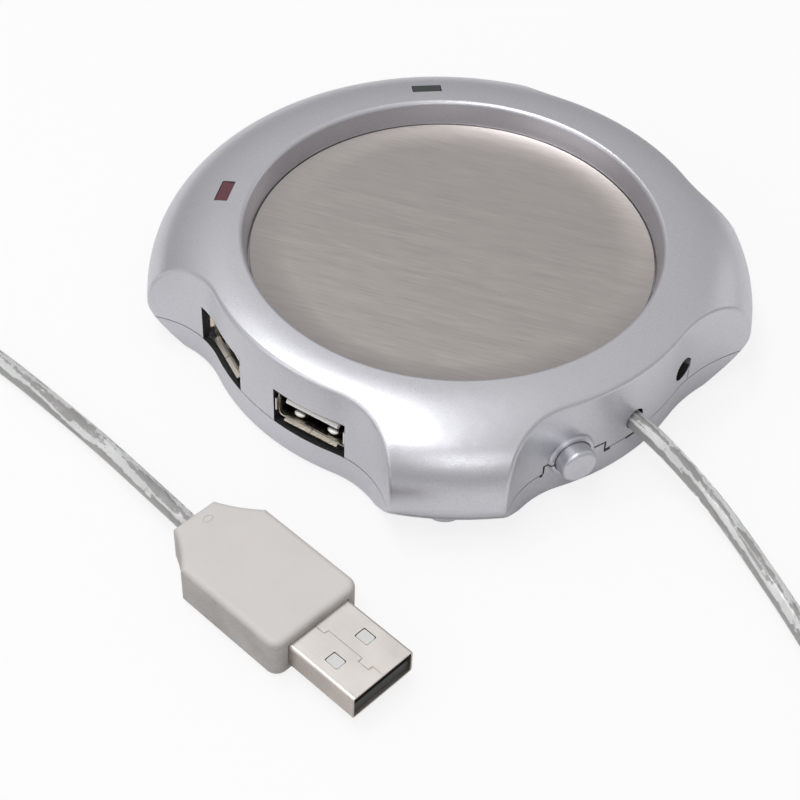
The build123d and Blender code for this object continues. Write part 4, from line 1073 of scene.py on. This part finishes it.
class MUGWARMER_OT_power_jack(bpy.types.Operator):
    """Power jack behind the small round hole"""

    bl_idname = "mug_warmer.power_jack"
    bl_label = "Power Jack"

    def execute(self, context):
        paint(["dc_jack_body"], moulded_material("jack_plastic", (0.02, 0.02, 0.022), 0.5))
        paint(["dc_jack_pin"], plated_material("jack_pin", (0.7, 0.68, 0.62), 0.25))
        # The barrel is real; its near-black, barely reflecting finish is painted shade in the hole.
        barrel_shade = moulded_material("jack_barrel", (0.004, 0.004, 0.004), 0.8)
        barrel_shade.node_tree.nodes["Principled BSDF"].inputs["Specular IOR Level"].default_value = 0.1
        middle = Vector((*bearing(JACK_AZIMUTH), 0.0))
        mesh = lathed("jack_barrel", JACK_BARREL, middle, Vector((0.0, 0.0, JACK_HEIGHT * MM)))
        place_object("jack_barrel", mesh, barrel_shade, "housing")
        return {"FINISHED"}


class MUGWARMER_OT_lamps(bpy.types.Operator):
    """Two indicator lamps, both unlit"""

    bl_idname = "mug_warmer.lamps"
    bl_label = "Lamps"

    def execute(self, context):
        paint(["power_lamp"], self.lens("green_lens", (0.012, 0.02, 0.014)))
        paint(["heater_lamp"], self.lens("red_lens", (0.09, 0.012, 0.022)))
        return {"FINISHED"}

    def lens(self, name, colour):
        material = moulded_material(name, colour, 0.18, 600.0, 0.1, 0.1)
        shader = material.node_tree.nodes["Principled BSDF"]
        shader.inputs["Coat Weight"].default_value = 0.6
        shader.inputs["Coat Roughness"].default_value = 0.08
        return material


class MUGWARMER_OT_underside(bpy.types.Operator):
    """Rubber feet and screws"""

    bl_idname = "mug_warmer.underside"
    bl_label = "Underside"

    def execute(self, context):
        paint(["rubber_feet"], moulded_material("foot_rubber", (0.03, 0.03, 0.031), 0.75, 2200.0, 0.15, 0.6))
        steel = plated_material("screw_steel", (0.56, 0.56, 0.57), 0.32)
        paint(["housing_screws", "board_screws", "retainer_screws"], steel)
        return {"FINISHED"}


class MUGWARMER_OT_cable(bpy.types.Operator):
    """Clear cable with its twisted shield, coiled and tied"""

    bl_idname = "mug_warmer.cable"
    bl_label = "Cable"

    def execute(self, context):
        settings = context.scene.mug_cable
        jacket = place_object("cable_jacket", cable_curve("cable_jacket", settings.diameter / 2),
                              clear_jacket_material(), "housing")
        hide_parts("cable_out", "cable_coil", "cable_back")
        strands = shield_material()
        values = {"Radius": settings.shield_radius, "Twist Pitch": settings.twist_pitch, "Material": strands}
        mesh = run_tree(shield_tree(), cable_line("cable_line"), "cable_shield", values)
        shield = place_object("cable_shield", mesh, strands, "housing")
        paint(["cable_tie"], moulded_material("tie_plastic", (0.02, 0.02, 0.021), 0.5, 1500.0))
        return {"FINISHED"}


class MUGWARMER_OT_plug(bpy.types.Operator):
    """Plug: moulded grip, plated shell, tongue and contacts"""

    bl_idname = "mug_warmer.plug"
    bl_label = "Plug"

    def execute(self, context):
        settings = context.scene.mug_plug
        grip = moulded_material("moulded_grip", settings.grip, 0.55, 1.0 / settings.grain_size, 0.03, 0.35)
        # Painted shade: the grip's upright sides are darkened to 0.7 of its colour.
        painted_shade(grip, upright_faces(grip.node_tree, 1.0, 0.0), [0.7 * part for part in settings.grip])
        paint(["plug_overmold"], grip)
        paint(["plug_shell"], self.plug_metal())
        paint(["plug_insulator"], moulded_material("plug_tongue", (0.03, 0.03, 0.03), 0.5))
        paint(["plug_contacts"], plated_material("plug_contacts", (0.83, 0.62, 0.25), 0.25))
        pads = self.window_pads()
        pale = moulded_material("pad_plastic", (0.6, 0.6, 0.585), 0.5)
        place_object("plug_window_pads", pads, pale, "housing")
        place_object("grip_oval", self.oval(), grip, "housing")
        return {"FINISHED"}

    def plug_metal(self):
        """Nickel plate with faint drawing lines, its narrow sides painted browner and darker as a painted
        reflection of the dim surroundings.
        """
        material = plated_material("plug_plating", (0.78, 0.75, 0.725), 0.33)
        # Painted reflection: upright faces are mixed towards a darker brown.
        painted_shade(material, upright_faces(material.node_tree, 0.85, 0.3), (0.5, 0.44, 0.4))
        return material

    def on_plug(self, along, across, height):
        """A place on the plug, in metres, from millimetres along its length, across it and up."""
        ahead = bearing(PLUG_AZIMUTH)
        left = (-ahead[1], ahead[0])
        x, y = (PLUG_NECK[index] + ahead[index] * along + left[index] * across for index in (0, 1))
        return Vector((x, y, height)) * MM

    def window_pads(self):
        """What fills the metal's two latch windows, a little below its face."""
        shape = bmesh.new()
        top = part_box("plug_shell")[1][2] / MM - PAD_DEPTH
        middle = GRIP_LENGTH + PLUG_METAL_LENGTH / 2
        straight_along, straight_across = (half - WINDOW_CORNER for half in WINDOW_HALF_SIZE)
        for side in (-WINDOW_OFFSET, WINDOW_OFFSET):
            ring = []
            for quarter, (ahead, left) in enumerate(((1, 1), (-1, 1), (-1, -1), (1, -1))):
                for step in range(5):
                    angle = math.radians(90 * quarter + 22.5 * step)
                    along = ahead * straight_along + WINDOW_CORNER * math.cos(angle)
                    across = left * straight_across + WINDOW_CORNER * math.sin(angle)
                    ring.append(shape.verts.new(self.on_plug(middle + along, side + across, top)))
            lid = shape.faces.new(ring)
            lifted = bmesh.ops.extrude_face_region(shape, geom=[lid])["geom"]
            floor = [item for item in lifted if isinstance(item, bmesh.types.BMVert)]
            bmesh.ops.translate(shape, verts=floor, vec=(0.0, 0.0, -PAD_THICKNESS * MM))
        return finished(shape, "plug_window_pads")

    def oval(self):
        """The small raised oval ring on the grip, by the cable."""
        shape = bmesh.new()
        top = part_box("plug_overmold")[1][2] / MM
        around, section = 40, 10
        rings = []
        for turn in range(around):
            angle = 2 * math.pi * turn / around
            ring = []
            for step in range(section):
                slope = 2 * math.pi * step / section
                reach = OVAL_SECTION[0] * math.cos(slope)
                along = OVAL_MIDDLE[0] + (OVAL_RADII[0] + reach) * math.cos(angle)
                across = OVAL_MIDDLE[1] + (OVAL_RADII[1] + reach) * math.sin(angle)
                height = top + OVAL_SECTION[1] * math.sin(slope)
                ring.append(shape.verts.new(self.on_plug(along, across, height)))
            rings.append(ring)
        for ring, following in zip(rings, rings[1:] + rings[:1]):
            for step in range(section):
                after = (step + 1) % section
                shape.faces.new((ring[step], ring[after], following[after], following[step]))
        return finished(shape, "grip_oval")


class MUGWARMER_PT_panel(bpy.types.Panel):
    """Settings and steps for the mug warmer"""

    bl_idname = "MUGWARMER_PT_panel"
    bl_label = "Mug Warmer"
    bl_space_type = "VIEW_3D"
    bl_region_type = "UI"
    bl_category = "Mug Warmer"

    def draw(self, context):
        layout = self.layout
        for name, settings_class in SETTINGS.items():
            box = layout.box()
            settings = getattr(context.scene, name)
            for label in settings_class.__annotations__:
                box.prop(settings, label)
        for operator in OPERATORS:
            layout.operator(operator.bl_idname)


SETTINGS = {
    "mug_housing": HousingSettings,
    "mug_plate": PlateSettings,
    "mug_cable": CableSettings,
    "mug_plug": PlugSettings,
    "mug_stage": StageSettings,
}
OPERATORS = (
    MUGWARMER_OT_stage,
    MUGWARMER_OT_housing,
    MUGWARMER_OT_button,
    MUGWARMER_OT_hot_plate,
    MUGWARMER_OT_electronics,
    MUGWARMER_OT_sockets,
    MUGWARMER_OT_power_jack,
    MUGWARMER_OT_lamps,
    MUGWARMER_OT_underside,
    MUGWARMER_OT_cable,
    MUGWARMER_OT_plug,
)


def register():
    for kind in (*SETTINGS.values(), *OPERATORS, MUGWARMER_PT_panel):
        bpy.utils.register_class(kind)
    for name, kind in SETTINGS.items():
        setattr(bpy.types.Scene, name, PointerProperty(type=kind))


def unregister():
    for name in SETTINGS:
        delattr(bpy.types.Scene, name)
    for kind in (MUGWARMER_PT_panel, *reversed(OPERATORS), *SETTINGS.values()):
        bpy.utils.unregister_class(kind)


def main():
    register()
    steps = bpy.ops.mug_warmer
    steps.stage()
    steps.housing()
    steps.button()
    steps.hot_plate()
    steps.electronics()
    steps.sockets()
    steps.power_jack()
    steps.lamps()
    steps.underside()
    steps.cable()
    steps.plug()


if __name__ == "__main__":
    main()
